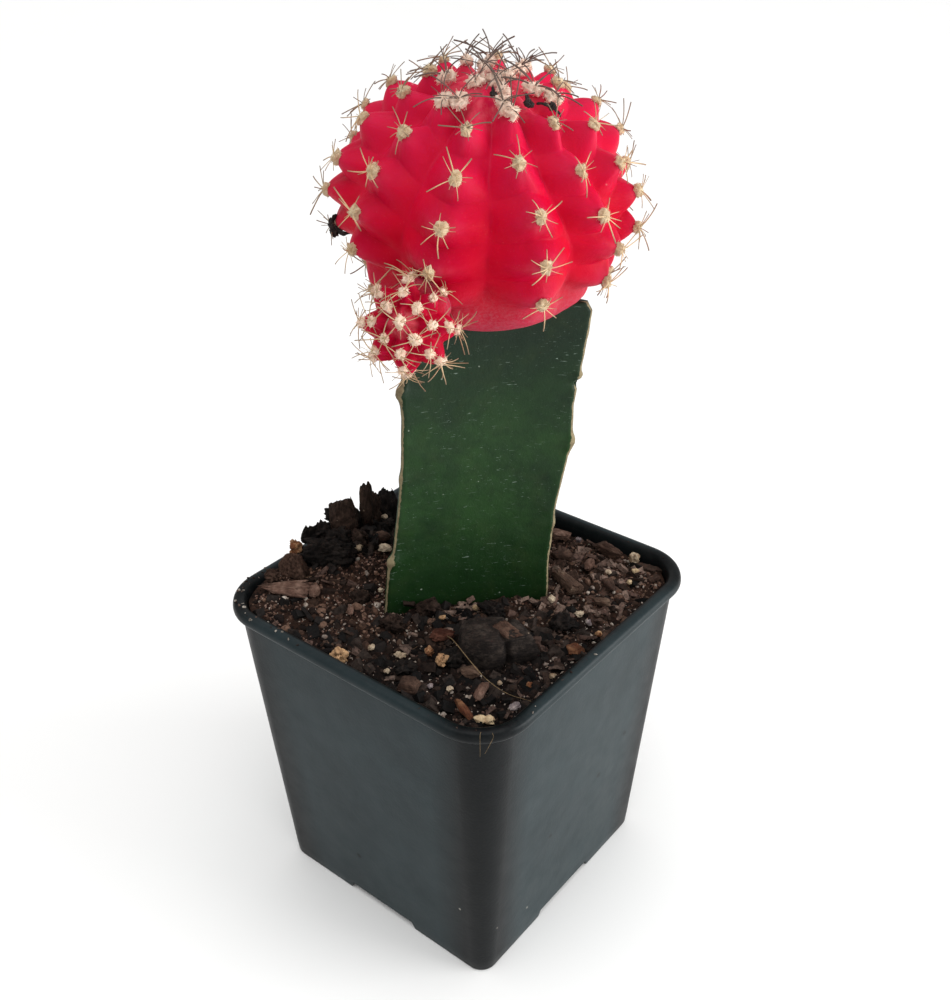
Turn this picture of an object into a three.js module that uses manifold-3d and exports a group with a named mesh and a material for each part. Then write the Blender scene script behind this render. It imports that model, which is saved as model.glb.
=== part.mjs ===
// Potted moon cactus: a ribbed ball cactus grafted on a three-ribbed rootstock, in a square
// nursery pot filled with potting mix. Millimetres, +Z up, origin on the ground under the
// centre of the pot, X and Y along the pot's sides.
import * as THREE from 'three';
import { mergeVertices } from 'three/addons/utils/BufferGeometryUtils.js';
import Module from 'manifold-3d';

// ---- Driving dimensions ---------------------------------------------------------------------
const GAP = 0.3; // clearance between neighbouring pieces
const MERGE = 1e-4; // points nearer than this are one
const DEG = Math.PI / 180;

const POT = {
  height: 64.3, // ground to the top of the lip
  baseHalf: 25.3, // half the width at the ground
  baseCorner: 3.2, // corner radius at the ground
  neckHalf: 30.0, // half the width just under the lip
  neckCorner: 6.8,
  lipHalf: 32, // half the width over the lip
  lipCorner: 10.2,
  lipHeight: 3.2,
  wall: 1.0,
  floor: 1.2,
  footBevel: 0.5, // small step round the edge that stands on the ground
  cornerSteps: 6,
  sideShares: [0.25, 0.5, 0.75], // points along a straight side
};
const DRAIN = {
  length: 17, // recess along the bottom edge of each side
  slope: 1.6, // run of its sloped ends
  height: 1.8,
  sill: 0.3, // bottom of the step, over the ground
  reach: 7.8, // how far the recess runs in from the side
  cover: 1.2, // thickness of the step over the recess
  hole: 2.2, // radius of the drain hole in the step
  holeSides: 16,
  holeInset: 4.6, // from the side to the middle of the hole
  margin: 0.36, // how far the step's back stays inside the outer face
};
const SOIL = {
  level: 61, // mean height of the surface
  rings: 7, // rings of facets between the wall and the middle
  mounds: [
    { x: -26, y: -5, height: 4.6, spread: 11 }, // loose bark heaped at one side
    { x: -30, y: -30, height: 1.4, spread: 26 }, // nearly flush with the lip at one corner
    { x: -29, y: -26, height: 1.3, spread: 8 }, // spilling towards the lip there
    { x: 20, y: 30, height: 1.3, spread: 22 }, // banked up along the far side
  ],
};
const STEM = {
  middle: [3.1, -1.9], // middle of the front face at soil level
  along: 48.4 * DEG, // direction of the front face, from +X
  width: 30.2, // across the front face at soil level
  depth: 23.7, // front face to the back rib, where the front is that wide
  ribEnd: 1.7, // width of a rib's blunt edge
  hollow: [1.1, 2.2, 2.2], // how far each face dips between its ribs
  faceSteps: 5,
  // height, and where the left and right ribs stand along the face
  stations: [
    [36, -13.6, 13.6],
    [60, -15.1, 15.1],
    [70, -14, 15.2],
    [73, -13, 15.5],
    [80, -12, 16.1],
    [88, -11, 17.6],
    [93.5, -10.6, 18.6],
    [100, -10.3, 18.7],
    [104.5, -10.5, 19.4],
    [108, -9.6, 20],
    [116.3, -9, 21.2],
    [118, -8.6, 20.3],
  ],
};
// A ribbed body is an ellipsoid through its areoles, with grooves between the ribs and a notch
// between each areole and the next. Azimuths turn about its axis from its front, and it is
// smooth round its foot, where it grows from what carries it.
const BALL = {
  centre: [0.3, 7.1, 133.8],
  axis: [0.21, -0.17, 0.96],
  front: [0.63, -0.78, 0],
  foot: [0, 0, -1],
  smooth: [38, 62], // degrees from the foot over which the ribs rise
  equator: 24.4,
  pole: 19.2,
  groove: 4.2,
  notch: 2.3,
  // first is the latitude of a rib's first areole, step goes from each to the next, and sway is
  // how far each stands to the side of the rib's azimuth, the last value holding for the rest
  ribs: {
    a: { azimuth: -17, first: 62, step: 19.6, sway: [0, 2, 0.5, -2], shown: [0, 1, 2] },
    b: { azimuth: 20, first: 71, step: 21, sway: [0.5, -4.7, 0.7, 1.3, 2, 4], shown: [1, 2, 3] },
    c: { azimuth: 50, first: 61, step: 20, sway: [0, -4.5, -2, 6], shown: [1, 2, 3] },
    d: { azimuth: 77, first: 68, step: 17.6, sway: [0, 0, -5, 1, -1], shown: [1, 2, 3] },
    e: { azimuth: 110, first: 64, step: 19.5, shown: [1, 3] },
    f: { azimuth: 143, first: 70, step: 19.5, shown: [2, 4] },
    g: { azimuth: 175, first: 60, step: 19.5, shown: [0, 3] },
    h: { azimuth: 208, first: 71, step: 19.5, shown: [2, 4] },
    i: { azimuth: 241, first: 65, step: 19.5, shown: [1, 3] },
    j: { azimuth: 273.5, first: 58.5, step: 18.6, sway: [-4, -1.5, 4.5, 1.5], shown: [0, 1, 2] },
    k: { azimuth: 306.5, first: 70, step: 18.6, shown: [1, 2, 3] },
  },
  notches: 6, // notches along a rib, the first of them above its first areole
  columns: 6, // facets across a rib
};
const PUP_RIBS = { count: 8, firsts: [52, 64], step: 26 }; // its ribs start in turn at two latitudes
const PUP = {
  centre: [5.6, -17.1, 121.2],
  axis: [0.44, -0.78, 0.44],
  front: [0, 0, 1],
  foot: [-0.2, 0.87, 0.44],
  smooth: [30, 60],
  equator: 7.2,
  pole: 6.8,
  groove: 1.5,
  notch: 0.8,
  ribs: evenRibs(),
  notches: 4,
  columns: 4,
};
const FOOT_ROWS = 4; // rows of facets from a body's last notch to its far pole
const GROOVE_CURVE = 1.3; // how the skin falls from a rib's crest to the groove beside it
const NOTCH_CURVE = 1.5; // how a notch runs out towards the groove
const CUTTER_GROWTH = GAP * 1.3; // how much larger a body is when it cuts its neighbours clear
const AREOLE = { wool: 1.0, woolHeight: 0.8, spine: 5.2, spineFoot: 0.2, spines: 6, splay: 58 * DEG };
const CROWN = { wool: 3.4, woolHeight: 1.6, spine: 6.5, spineFoot: 0.2, spines: 7, splay: 32 * DEG };
// Section of a wool cushion, as shares of its radius and height.
const CUSHION = [[0, 0], [1, 0], [0.86, 0.45], [0.5, 0.85], [0, 1]];
const CUSHION_SIDES = 8;
const SPINE_SIDES = 4;

const LOOKS = {
  pot: { color: 0x2c3436, roughness: 0.42, metalness: 0 },
  soil: { color: 0x2b1d16, roughness: 0.95, metalness: 0 },
  stem: { color: 0x23452c, roughness: 0.5, metalness: 0 },
  flesh: { color: 0xcc1133, roughness: 0.42, metalness: 0 },
  spines: { color: 0xd8be90, roughness: 0.7, metalness: 0 },
  bark: { color: 0x4a3228, roughness: 0.9, metalness: 0 },
  char: { color: 0x241b18, roughness: 0.85, metalness: 0 },
  orange: { color: 0x8a4a22, roughness: 0.85, metalness: 0 },
  grit: { color: 0xd6bf98, roughness: 0.8, metalness: 0 },
  remnant: { color: 0x1c1616, roughness: 0.9, metalness: 0 },
};

// Loose pieces of the mix: place on the ground plan, size along their own axes, turn about +Z,
// lean about their own X axis, and how far their middle stands over the surface.
const LOOSE = {
  bark_chunk_dark: { at: [15.7, -8.5], size: [15, 12, 8.5], turn: 48, lean: -6, rise: 1.2, look: 'char' },
  bark_flake_pink: { at: [-23.6, -21.2], size: [8.8, 3, 1.3], turn: 34, lean: 10, rise: 0.8, look: 'bark' },
  bark_chip_left: { at: [-26.4, -16.6], size: [4.8, 4, 4.4], turn: 20, lean: 20, rise: 1.5, look: 'bark' },
  bark_nodule_orange: { at: [-28.9, -13.2], size: [2.6, 2.4, 3], turn: 0, lean: 0, rise: 2, look: 'orange' },
  bark_upright_wide: { at: [-26.2, -3], size: [6.4, 2.6, 10], turn: 48, lean: -10, rise: 3.8, look: 'bark' },
  bark_upright_stick: { at: [-25.2, 2.4], size: [2.4, 2, 12.4], turn: 30, lean: -4, rise: 5, look: 'bark' },
  bark_clump_dark: { at: [-25.8, 9.2], size: [5.4, 3, 8.4], turn: 52, lean: 6, rise: 3.4, look: 'char' },
  bark_lump_black: { at: [-23.2, -10], size: [10.2, 4.8, 6.6], turn: 43, lean: 6, rise: 0.9, look: 'char' },
  bark_strip_upper: { at: [14.8, 26.4], size: [8, 2.4, 1.8], turn: -14, lean: 12, rise: 0.9, look: 'bark' },
  bark_strip_lower: { at: [14.6, 13.8], size: [9, 3, 2.2], turn: -22, lean: -10, rise: 1, look: 'bark' },
  bark_strip_back: { at: [3.8, 26.4], size: [5.8, 2.2, 1.7], turn: 26, lean: 8, rise: 0.9, look: 'bark' },
  bark_chip_orange: { at: [26.2, -1.2], size: [3.8, 2.6, 1.8], turn: 62, lean: 0, rise: 0.8, look: 'orange' },
  bark_chip_front: { at: [10.3, -26], size: [4.4, 3, 2.6], turn: 25, lean: 8, rise: 0.8, look: 'bark' },
  bark_chip_middle: { at: [20.4, -19.6], size: [5.6, 1.5, 1.4], turn: 107, lean: 0, rise: 0.8, look: 'bark' },
  twig_orange: { at: [20.7, -24.3], size: [6, 1.5, 1.5], turn: -24, lean: 0, rise: 0.7, look: 'orange' },
  grit_cream_1: { at: [-21, -5], size: [2.3, 1.8, 1.6], turn: 30, lean: 0, rise: 0.7, look: 'grit' },
  grit_cream_2: { at: [-18.2, -0.3], size: [2.8, 1.7, 1.5], turn: 45, lean: 0, rise: 0.7, look: 'grit' },
  grit_cream_3: { at: [20.2, 27.4], size: [2.1, 1.8, 2.4], turn: 10, lean: 0, rise: 1.2, look: 'grit' },
  grit_cream_4: { at: [14.8, 8.2], size: [1.5, 1.4, 1.4], turn: 0, lean: 0, rise: 0.6, look: 'grit' },
  grit_cream_5: { at: [-4.1, -27.3], size: [2.4, 2, 3.2], turn: 15, lean: 0, rise: 0.9, look: 'grit' },
  grit_grey: { at: [26.6, -18.6], size: [1.9, 1.6, 1.6], turn: 70, lean: 0, rise: 0.6, look: 'grit' },
  perlite_pair: { at: [25.2, -24.6], size: [3.8, 2.4, 2.2], turn: 30, lean: 0, rise: 0.9, look: 'grit' },
};
const CHUNK = { detail: 1, roughness: 0.16, waves: [9, 11, 8] }; // facets, and its bumps' waves
const REMNANT_SEED = 40;

// Dried flower remains on the ball: azimuth and latitude in degrees, size, and how far their
// middle stands off the areoles' ellipsoid.
const REMNANTS = {
  flower_remnant_side: { azimuth: -84, latitude: -9, size: [4.2, 2.0, 3.2], lift: 0.2 },
  flower_remnant_top: { azimuth: 40, latitude: 71, size: [2.8, 1.8, 3.0], lift: 0.6 },
};

// ---- Solids ---------------------------------------------------------------------------------
const wasm = await Module();
wasm.setup();

// A closed solid from any geometry whose triangles close on themselves.
function solidOf(geometry) {
  const bare = geometry.clone();
  bare.deleteAttribute('normal');
  bare.deleteAttribute('uv');
  const merged = mergeVertices(bare, MERGE);
  const mesh = new wasm.Mesh({
    numProp: 3,
    vertProperties: new Float32Array(merged.attributes.position.array),
    triVerts: new Uint32Array(merged.index.array),
  });
  return new wasm.Manifold(mesh);
}

function geometryOf(solid) {
  const mesh = solid.getMesh();
  const geometry = new THREE.BufferGeometry();
  geometry.setAttribute('position', new THREE.BufferAttribute(new Float32Array(mesh.vertProperties), 3));
  geometry.setIndex(new THREE.BufferAttribute(new Uint32Array(mesh.triVerts), 1));
  geometry.computeVertexNormals();
  return geometry;
}

function namedMesh(name, geometry, look) {
  const mesh = new THREE.Mesh(geometry, new THREE.MeshStandardMaterial(LOOKS[look]));
  mesh.name = name;
  return mesh;
}

// Joins rings of equal length into one closed skin, with a fan over the first and the last.
// Rings run anticlockwise seen from above, and go up the outside.
function loft(rings) {
  const count = rings[0].length;
  const points = rings.flat();
  const triangles = [];
  for (let r = 0; r + 1 < rings.length; r += 1) {
    for (let i = 0; i < count; i += 1) {
      const a = r * count + i;
      const b = r * count + ((i + 1) % count);
      triangles.push(a, b, b + count, a, b + count, a + count);
    }
  }
  const first = addMiddle(points, rings[0]);
  const last = addMiddle(points, rings[rings.length - 1]);
  const top = (rings.length - 1) * count;
  for (let i = 0; i < count; i += 1) {
    const next = (i + 1) % count;
    triangles.push(first, next, i, last, top + i, top + next);
  }
  const geometry = new THREE.BufferGeometry().setFromPoints(points);
  geometry.setIndex(triangles);
  return geometry;
}

function addMiddle(points, ring) {
  const middle = new THREE.Vector3();
  ring.forEach((point) => middle.addScaledVector(point, 1 / ring.length));
  points.push(middle);
  return points.length - 1;
}

// A square ring with round corners, with points along its sides as well as round its corners.
function squareRing(half, corner, heightAt) {
  const ring = [];
  for (let side = 0; side < 4; side += 1) {
    const turn = side * 90 * DEG;
    for (let i = 0; i <= POT.cornerSteps; i += 1) {
      const angle = turn + (i / POT.cornerSteps) * 90 * DEG;
      const middle = new THREE.Vector2(half - corner, half - corner).rotateAround(new THREE.Vector2(), turn);
      ring.push(new THREE.Vector2(corner * Math.cos(angle), corner * Math.sin(angle)).add(middle));
    }
    const end = new THREE.Vector2(-half + corner, half).rotateAround(new THREE.Vector2(), turn);
    const start = ring[ring.length - 1];
    for (const share of POT.sideShares) {
      ring.push(start.clone().lerp(end, share));
    }
  }
  return ring.map((point) => new THREE.Vector3(point.x, point.y, heightAt(point.x, point.y)));
}

function levelRing(half, corner, z) {
  return squareRing(half, corner, () => z);
}

// ---- Pot ------------------------------------------------------------------------------------
function wallHalf(z) {
  return POT.baseHalf + ((POT.neckHalf - POT.baseHalf) * z) / (POT.height - POT.lipHeight);
}

function wallCorner(z) {
  return POT.baseCorner + ((POT.neckCorner - POT.baseCorner) * z) / (POT.height - POT.lipHeight);
}

// The rolled lip, from under its outer edge over the top and down inside the wall: how far each
// ring lies out from the neck, how far its corner radius grows, and its height under the top.
const LIP_PROFILE = [
  [0.9, 1.4, -2.6],
  [1.75, 2.8, -1.9],
  [2.0, 3.4, -1.1],
  [1.7, 3.0, -0.3],
  [1.0, 2.2, 0],
  [0.2, 1.2, -0.05],
  [-0.5, 0.4, -0.6],
];

function potShell() {
  const neck = POT.height - POT.lipHeight;
  const rings = [
    levelRing(POT.baseHalf - POT.footBevel, POT.baseCorner - POT.footBevel, 0),
    levelRing(POT.baseHalf, POT.baseCorner, POT.footBevel),
    levelRing(POT.neckHalf, POT.neckCorner, neck),
  ];
  for (const [out, round, under] of LIP_PROFILE) {
    rings.push(levelRing(POT.neckHalf + out, POT.neckCorner + round, POT.height + under));
  }
  for (const z of [neck - 1, POT.floor]) {
    rings.push(levelRing(wallHalf(z) - POT.wall, wallCorner(z) - POT.wall / 2, z));
  }
  return solidOf(loft(rings));
}

// A block along the bottom edge of one side, with sloped ends, from depth inner to depth outer.
function drainBlock(length, bottom, top, inner, outer, side) {
  const half = length / 2;
  const section = new THREE.Shape();
  section.moveTo(-half, bottom);
  section.lineTo(half, bottom);
  section.lineTo(half - DRAIN.slope, top);
  section.lineTo(-half + DRAIN.slope, top);
  const block = new THREE.ExtrudeGeometry(section, { depth: outer - inner, bevelEnabled: false });
  block.rotateX(90 * DEG);
  block.translate(0, -inner, 0);
  block.rotateZ(side * 90 * DEG);
  return solidOf(block);
}

function drainHole(side) {
  const length = 4 * (DRAIN.height + DRAIN.cover);
  const hole = new THREE.CylinderGeometry(DRAIN.hole, DRAIN.hole, length, DRAIN.holeSides);
  hole.rotateX(90 * DEG);
  hole.translate(0, -(POT.baseHalf - DRAIN.holeInset), 0);
  hole.rotateZ(side * 90 * DEG);
  return solidOf(hole);
}

// The raised step over each drain recess, grown by a clearance where the mix sits against it.
function drainStep(side, grow) {
  const inner = POT.baseHalf - DRAIN.reach - DRAIN.cover - grow;
  const outer = POT.baseHalf - DRAIN.margin;
  const length = DRAIN.length + 2 * DRAIN.cover + 2 * grow;
  return drainBlock(length, DRAIN.sill, DRAIN.height + DRAIN.cover + grow, inner, outer, side);
}

function potSolid() {
  let pot = potShell();
  for (let side = 0; side < 4; side += 1) {
    const recess = drainBlock(
      DRAIN.length + DRAIN.slope,
      -DRAIN.height,
      DRAIN.height,
      POT.baseHalf - DRAIN.reach,
      POT.baseHalf + 2,
      side,
    );
    pot = pot.add(drainStep(side, 0)).subtract(recess).subtract(drainHole(side));
  }
  return pot;
}

// ---- Potting mix ----------------------------------------------------------------------------
function mound(spot, x, y) {
  const distance = ((x - spot.x) ** 2 + (y - spot.y) ** 2) / spot.spread ** 2;
  return spot.height * Math.exp(-distance);
}

function soilHeight(x, y) {
  const ripple = 0.35 * Math.sin(x * 0.55 + 1) * Math.cos(y * 0.48) + 0.2 * Math.sin(x * 0.9 - y * 0.7);
  return SOIL.mounds.reduce((height, spot) => height + mound(spot, x, y), SOIL.level + ripple);
}

// The mix as it lies, before anything stands in it.
function soilBody(lift) {
  const bottom = POT.floor + GAP;
  const wallAt = (z) => [wallHalf(z) - POT.wall - GAP, wallCorner(z) - POT.wall / 2];
  const rings = [levelRing(...wallAt(bottom), bottom + lift)];
  const [half, corner] = wallAt(SOIL.level - 2);
  for (let i = 0; i < SOIL.rings; i += 1) {
    const share = 1 - i / SOIL.rings;
    rings.push(squareRing(half * share, corner * share, (x, y) => soilHeight(x, y) + lift));
  }
  return solidOf(loft(rings));
}

function soilSolid() {
  let soil = soilBody(0).subtract(solidOf(loft(stemRings(GAP))));
  for (let side = 0; side < 4; side += 1) {
    soil = soil.subtract(drainStep(side, GAP));
  }
  return soil;
}

// A broken chunk with its own bumps, the same on every build.
function chunkGeometry(size, seed) {
  const chunk = new THREE.IcosahedronGeometry(0.5, CHUNK.detail);
  const place = chunk.attributes.position;
  const point = new THREE.Vector3();
  const [waveX, waveY, waveZ] = CHUNK.waves;
  for (let i = 0; i < place.count; i += 1) {
    point.fromBufferAttribute(place, i);
    const alongPlan = Math.sin(point.x * waveX + seed) + Math.sin(point.y * waveY + seed * 2);
    const wave = (alongPlan + Math.sin(point.z * waveZ + seed * 3)) / 3;
    point.multiplyScalar(1 + CHUNK.roughness * wave);
    place.setXYZ(i, point.x, point.y, point.z);
  }
  chunk.scale(...size);
  return chunk;
}

function looseSolid(piece, seed, ground) {
  const chunk = chunkGeometry(piece.size, seed);
  chunk.rotateX(piece.lean * DEG);
  chunk.rotateZ(piece.turn * DEG);
  const [x, y] = piece.at;
  chunk.translate(x, y, soilHeight(x, y) + piece.rise);
  return solidOf(chunk).subtract(ground);
}

// ---- Rootstock ------------------------------------------------------------------------------
// Outline of the stem at one height, in distances along the front face and back from it.
function stemOutline(left, right) {
  const half = STEM.ribEnd / 2;
  const depth = (STEM.depth * (right - left)) / STEM.width;
  const back = (left + right) / 2;
  const corners = [
    [[left, half], [left + half, 0]],
    [[right - half, 0], [right, half]],
    [[back + half, depth], [back - half, depth]],
  ];
  const outline = [];
  corners.forEach(([enter, leave], i) => {
    const next = corners[(i + 1) % 3][0];
    const away = [next[1] - leave[1], leave[0] - next[0]];
    const length = Math.hypot(...away);
    outline.push(new THREE.Vector2(...enter));
    for (let step = 0; step < STEM.faceSteps; step += 1) {
      const share = step / STEM.faceSteps;
      const dip = (STEM.hollow[i] * 4 * share * (1 - share)) / length;
      const x = leave[0] + (next[0] - leave[0]) * share - away[0] * dip;
      const y = leave[1] + (next[1] - leave[1]) * share - away[1] * dip;
      outline.push(new THREE.Vector2(x, y));
    }
  });
  return outline;
}

// Moves every point of an anticlockwise outline out along the mean normal of its two edges.
function growOutline(outline, distance) {
  return outline.map((point, i) => {
    const before = outline[(i + outline.length - 1) % outline.length];
    const after = outline[(i + 1) % outline.length];
    const along = after.clone().sub(before).normalize();
    return new THREE.Vector2(point.x + along.y * distance, point.y - along.x * distance);
  });
}

function stemRings(grow) {
  return STEM.stations.map(([z, left, right], i) => {
    const height = i === 0 ? z - grow : z;
    return growOutline(stemOutline(left, right), grow).map((point) => {
      const spot = point.rotateAround(new THREE.Vector2(), STEM.along);
      return new THREE.Vector3(spot.x + STEM.middle[0], spot.y + STEM.middle[1], height);
    });
  });
}

// ---- Ribbed bodies --------------------------------------------------------------------------
function evenRibs() {
  const { count, firsts, step } = PUP_RIBS;
  const ribs = {};
  for (let i = 0; i < count; i += 1) {
    ribs[i] = { azimuth: (i * 360) / count, first: firsts[i % 2], step };
  }
  return ribs;
}

function bodyAxes(body) {
  const axis = new THREE.Vector3(...body.axis).normalize();
  const front = new THREE.Vector3(...body.front).projectOnPlane(axis).normalize();
  const side = new THREE.Vector3().crossVectors(axis, front);
  return { axis, front, side };
}

// Where a body's skin lies, as deep as depth under the ellipsoid through its areoles.
function bodyPoint(body, axes, azimuth, latitude, depth) {
  const across = (body.equator - depth) * Math.cos(latitude * DEG);
  return new THREE.Vector3(...body.centre)
    .addScaledVector(axes.front, across * Math.cos(azimuth * DEG))
    .addScaledVector(axes.side, across * Math.sin(azimuth * DEG))
    .addScaledVector(axes.axis, (body.pole - depth) * Math.sin(latitude * DEG));
}

function areoleLatitude(rib, index) {
  return rib.first - rib.step * index;
}

function areoleAzimuth(rib, index) {
  const sway = rib.sway ?? [0];
  return rib.azimuth + sway[THREE.MathUtils.clamp(index, 0, sway.length - 1)];
}

// Azimuth of a row of facets on one rib, between those of the areoles above and below it.
function rowAzimuth(rib, row) {
  const place = row / 2 - 1;
  return (areoleAzimuth(rib, Math.floor(place)) + areoleAzimuth(rib, Math.ceil(place))) / 2;
}

function ease(low, high, value) {
  return THREE.MathUtils.smoothstep(value, low, high);
}

// Latitude of a row of facets on one rib. After the pole, odd rows stand on the rib's notches
// and even rows on its areoles, and a few last rows run down to the other pole.
function rowLatitude(body, rib, row) {
  const last = 2 * body.notches - 1;
  const lowest = areoleLatitude(rib, body.notches - 1.5);
  if (row > last) {
    return lowest - ((90 + lowest) * (row - last)) / FOOT_ROWS;
  }
  return row === 0 ? 90 : areoleLatitude(rib, row / 2 - 1);
}

// Depth of the skin: offset is 0 on a rib's crest and 1 in the groove beside it.
function skinDepth(body, row, offset) {
  const notch = row % 2 === 1 ? body.notch : 0;
  return body.groove * offset ** GROOVE_CURVE + notch * (1 - offset ** NOTCH_CURVE);
}

// How much of its relief a body has at a latitude and in a direction from its middle.
function relief(body, latitude, direction) {
  const fromFoot = direction.angleTo(new THREE.Vector3(...body.foot)) / DEG;
  const clearOfPoles = ease(-90, -75, latitude) * ease(-90, -60, -latitude);
  return ease(body.smooth[0], body.smooth[1], fromFoot) * clearOfPoles;
}

function bodyGeometry(body) {
  const ribs = Object.values(body.ribs).sort((a, b) => a.azimuth - b.azimuth);
  const axes = bodyAxes(body);
  const middle = new THREE.Vector3(...body.centre);
  const rows = 2 * body.notches - 1 + FOOT_ROWS;
  const skin = new THREE.SphereGeometry(1, ribs.length * body.columns, rows);
  const { position, uv } = skin.attributes;
  for (let i = 0; i < position.count; i += 1) {
    const turn = ((uv.getX(i) + 1) * ribs.length) % ribs.length;
    const here = ribs[Math.floor(turn)];
    const next = ribs[(Math.floor(turn) + 1) % ribs.length];
    const share = turn - Math.floor(turn);
    const row = Math.round((1 - uv.getY(i)) * rows);
    const start = rowAzimuth(here, row);
    const azimuth = start + ((rowAzimuth(next, row) - start + 360) % 360) * share;
    const latitude = THREE.MathUtils.lerp(rowLatitude(body, here, row), rowLatitude(body, next, row), share);
    const crest = bodyPoint(body, axes, azimuth, latitude, 0);
    const fade = relief(body, latitude, crest.clone().sub(middle));
    const depth = fade * skinDepth(body, row, 1 - Math.abs(1 - 2 * share));
    const point = bodyPoint(body, axes, azimuth, latitude, depth);
    position.setXYZ(i, point.x, point.y, point.z);
  }
  return skin;
}

// The same body, a little larger, for cutting its neighbours clear of it.
function bodyCutter(body) {
  const grown = { ...body, equator: body.equator + CUTTER_GROWTH, pole: body.pole + CUTTER_GROWTH };
  return solidOf(bodyGeometry(grown));
}

// ---- Areoles, spines and remains ------------------------------------------------------------
// A cushion of wool with spines round it, standing on its own XY plane.
function spineCluster(size, seed) {
  const points = CUSHION.map(([r, z]) => new THREE.Vector2(r * size.wool, z * size.woolHeight));
  const dome = new THREE.LatheGeometry(points, CUSHION_SIDES);
  dome.rotateX(90 * DEG);
  let cluster = solidOf(dome);
  for (let i = 0; i < size.spines; i += 1) {
    const length = size.spine * (0.8 + 0.2 * Math.sin(seed + i * 2.4));
    const spine = new THREE.ConeGeometry(size.spineFoot, length, SPINE_SIDES);
    spine.rotateX(90 * DEG);
    spine.translate(0, 0, length / 2 + size.woolHeight * 0.3);
    spine.rotateX(size.splay * (0.85 + 0.15 * Math.sin(seed * 3 + i)));
    spine.rotateZ(((i + 0.3 * Math.sin(seed + i)) / size.spines) * 2 * Math.PI);
    cluster = cluster.add(solidOf(spine));
  }
  return geometryOf(cluster);
}

// The place and turn of something that stands on a body's skin, its +Z pointing away from it.
function skinPlace(body, azimuth, latitude, lift) {
  const foot = bodyPoint(body, bodyAxes(body), azimuth, latitude, 0);
  const away = foot.clone().sub(new THREE.Vector3(...body.centre)).normalize();
  const turn = new THREE.Quaternion().setFromUnitVectors(new THREE.Vector3(0, 0, 1), away);
  return { position: foot.addScaledVector(away, lift), quaternion: turn };
}

function placeOnBall(mesh, azimuth, latitude, lift) {
  const place = skinPlace(BALL, azimuth, latitude, lift);
  mesh.position.copy(place.position);
  mesh.quaternion.copy(place.quaternion);
  return mesh;
}

function areoles() {
  const meshes = [];
  Object.entries(BALL.ribs).forEach(([letter, rib], ribIndex) => {
    for (const index of rib.shown) {
      const cluster = spineCluster(AREOLE, ribIndex * 5 + index);
      const mesh = namedMesh(`areole_${letter}${index + 1}`, cluster, 'spines');
      meshes.push(placeOnBall(mesh, areoleAzimuth(rib, index), areoleLatitude(rib, index), GAP));
    }
  });
  return meshes;
}

// Dried remains lie against the skin, so each is cut to it.
function remnants(cutter) {
  return Object.entries(REMNANTS).map(([name, piece], i) => {
    const chunk = chunkGeometry(piece.size, i + REMNANT_SEED);
    const place = skinPlace(BALL, piece.azimuth, piece.latitude, piece.lift);
    chunk.applyQuaternion(place.quaternion);
    chunk.translate(...place.position);
    return namedMesh(name, geometryOf(solidOf(chunk).subtract(cutter)), 'remnant');
  });
}

// ---- Assembly -------------------------------------------------------------------------------
const ballCutter = bodyCutter(BALL);
const ground = soilBody(GAP);
const plant = new THREE.Group();
plant.add(namedMesh('pot', geometryOf(potSolid()), 'pot'));
plant.add(namedMesh('potting_mix', geometryOf(soilSolid()), 'soil'));
plant.add(namedMesh('rootstock_stem', geometryOf(solidOf(loft(stemRings(0))).subtract(ballCutter)), 'stem'));
plant.add(namedMesh('cactus_ball', geometryOf(solidOf(bodyGeometry(BALL))), 'flesh'));
plant.add(namedMesh('cactus_offset', geometryOf(solidOf(bodyGeometry(PUP)).subtract(ballCutter)), 'flesh'));
plant.add(placeOnBall(namedMesh('apex_crown', spineCluster(CROWN, 1), 'spines'), 0, 90, GAP));
plant.add(...areoles(), ...remnants(ballCutter));
Object.entries(LOOSE).forEach(([name, piece], i) => {
  plant.add(namedMesh(name, geometryOf(looseSolid(piece, i + 1, ground)), piece.look));
});

export default plant;
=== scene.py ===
# Potted moon cactus: a red ribbed ball cactus with one offset, grafted on a green three-ribbed
# rootstock, in a square black nursery pot filled with a mix of bark, peat and grit.
# Shapes are worked out in millimetres in the frame's own axes: +Z up, the origin on the ground
# under the middle of the pot, X and Y along its sides. Meshes are written in metres.
from collections import namedtuple
from math import cos, exp, pi, radians, sin, sqrt, tau
from random import Random

import bmesh
import bpy
import numpy as np
from mathutils import Matrix, Vector, noise
from mathutils.bvhtree import BVHTree


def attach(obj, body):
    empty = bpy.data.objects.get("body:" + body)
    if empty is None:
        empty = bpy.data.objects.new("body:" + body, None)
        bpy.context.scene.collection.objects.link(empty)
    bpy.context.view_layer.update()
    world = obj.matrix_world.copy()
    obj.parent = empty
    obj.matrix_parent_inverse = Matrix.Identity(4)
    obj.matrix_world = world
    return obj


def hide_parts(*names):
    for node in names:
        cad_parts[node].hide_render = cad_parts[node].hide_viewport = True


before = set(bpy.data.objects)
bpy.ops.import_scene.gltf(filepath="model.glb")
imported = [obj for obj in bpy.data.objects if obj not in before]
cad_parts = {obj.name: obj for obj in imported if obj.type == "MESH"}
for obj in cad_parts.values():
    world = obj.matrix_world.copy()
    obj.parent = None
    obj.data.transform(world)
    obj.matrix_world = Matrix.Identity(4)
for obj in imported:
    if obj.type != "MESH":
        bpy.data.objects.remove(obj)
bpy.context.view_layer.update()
noise.seed_set(1)  # the offsets of noise_vector, which otherwise come from the clock


# ---- Sizes, in millimetres and degrees --------------------------------------------------------
MM = 0.001
PER_MM2 = 1e6  # one for each square millimetre, in the square metres of Geometry Nodes
BODY = "root"

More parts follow.
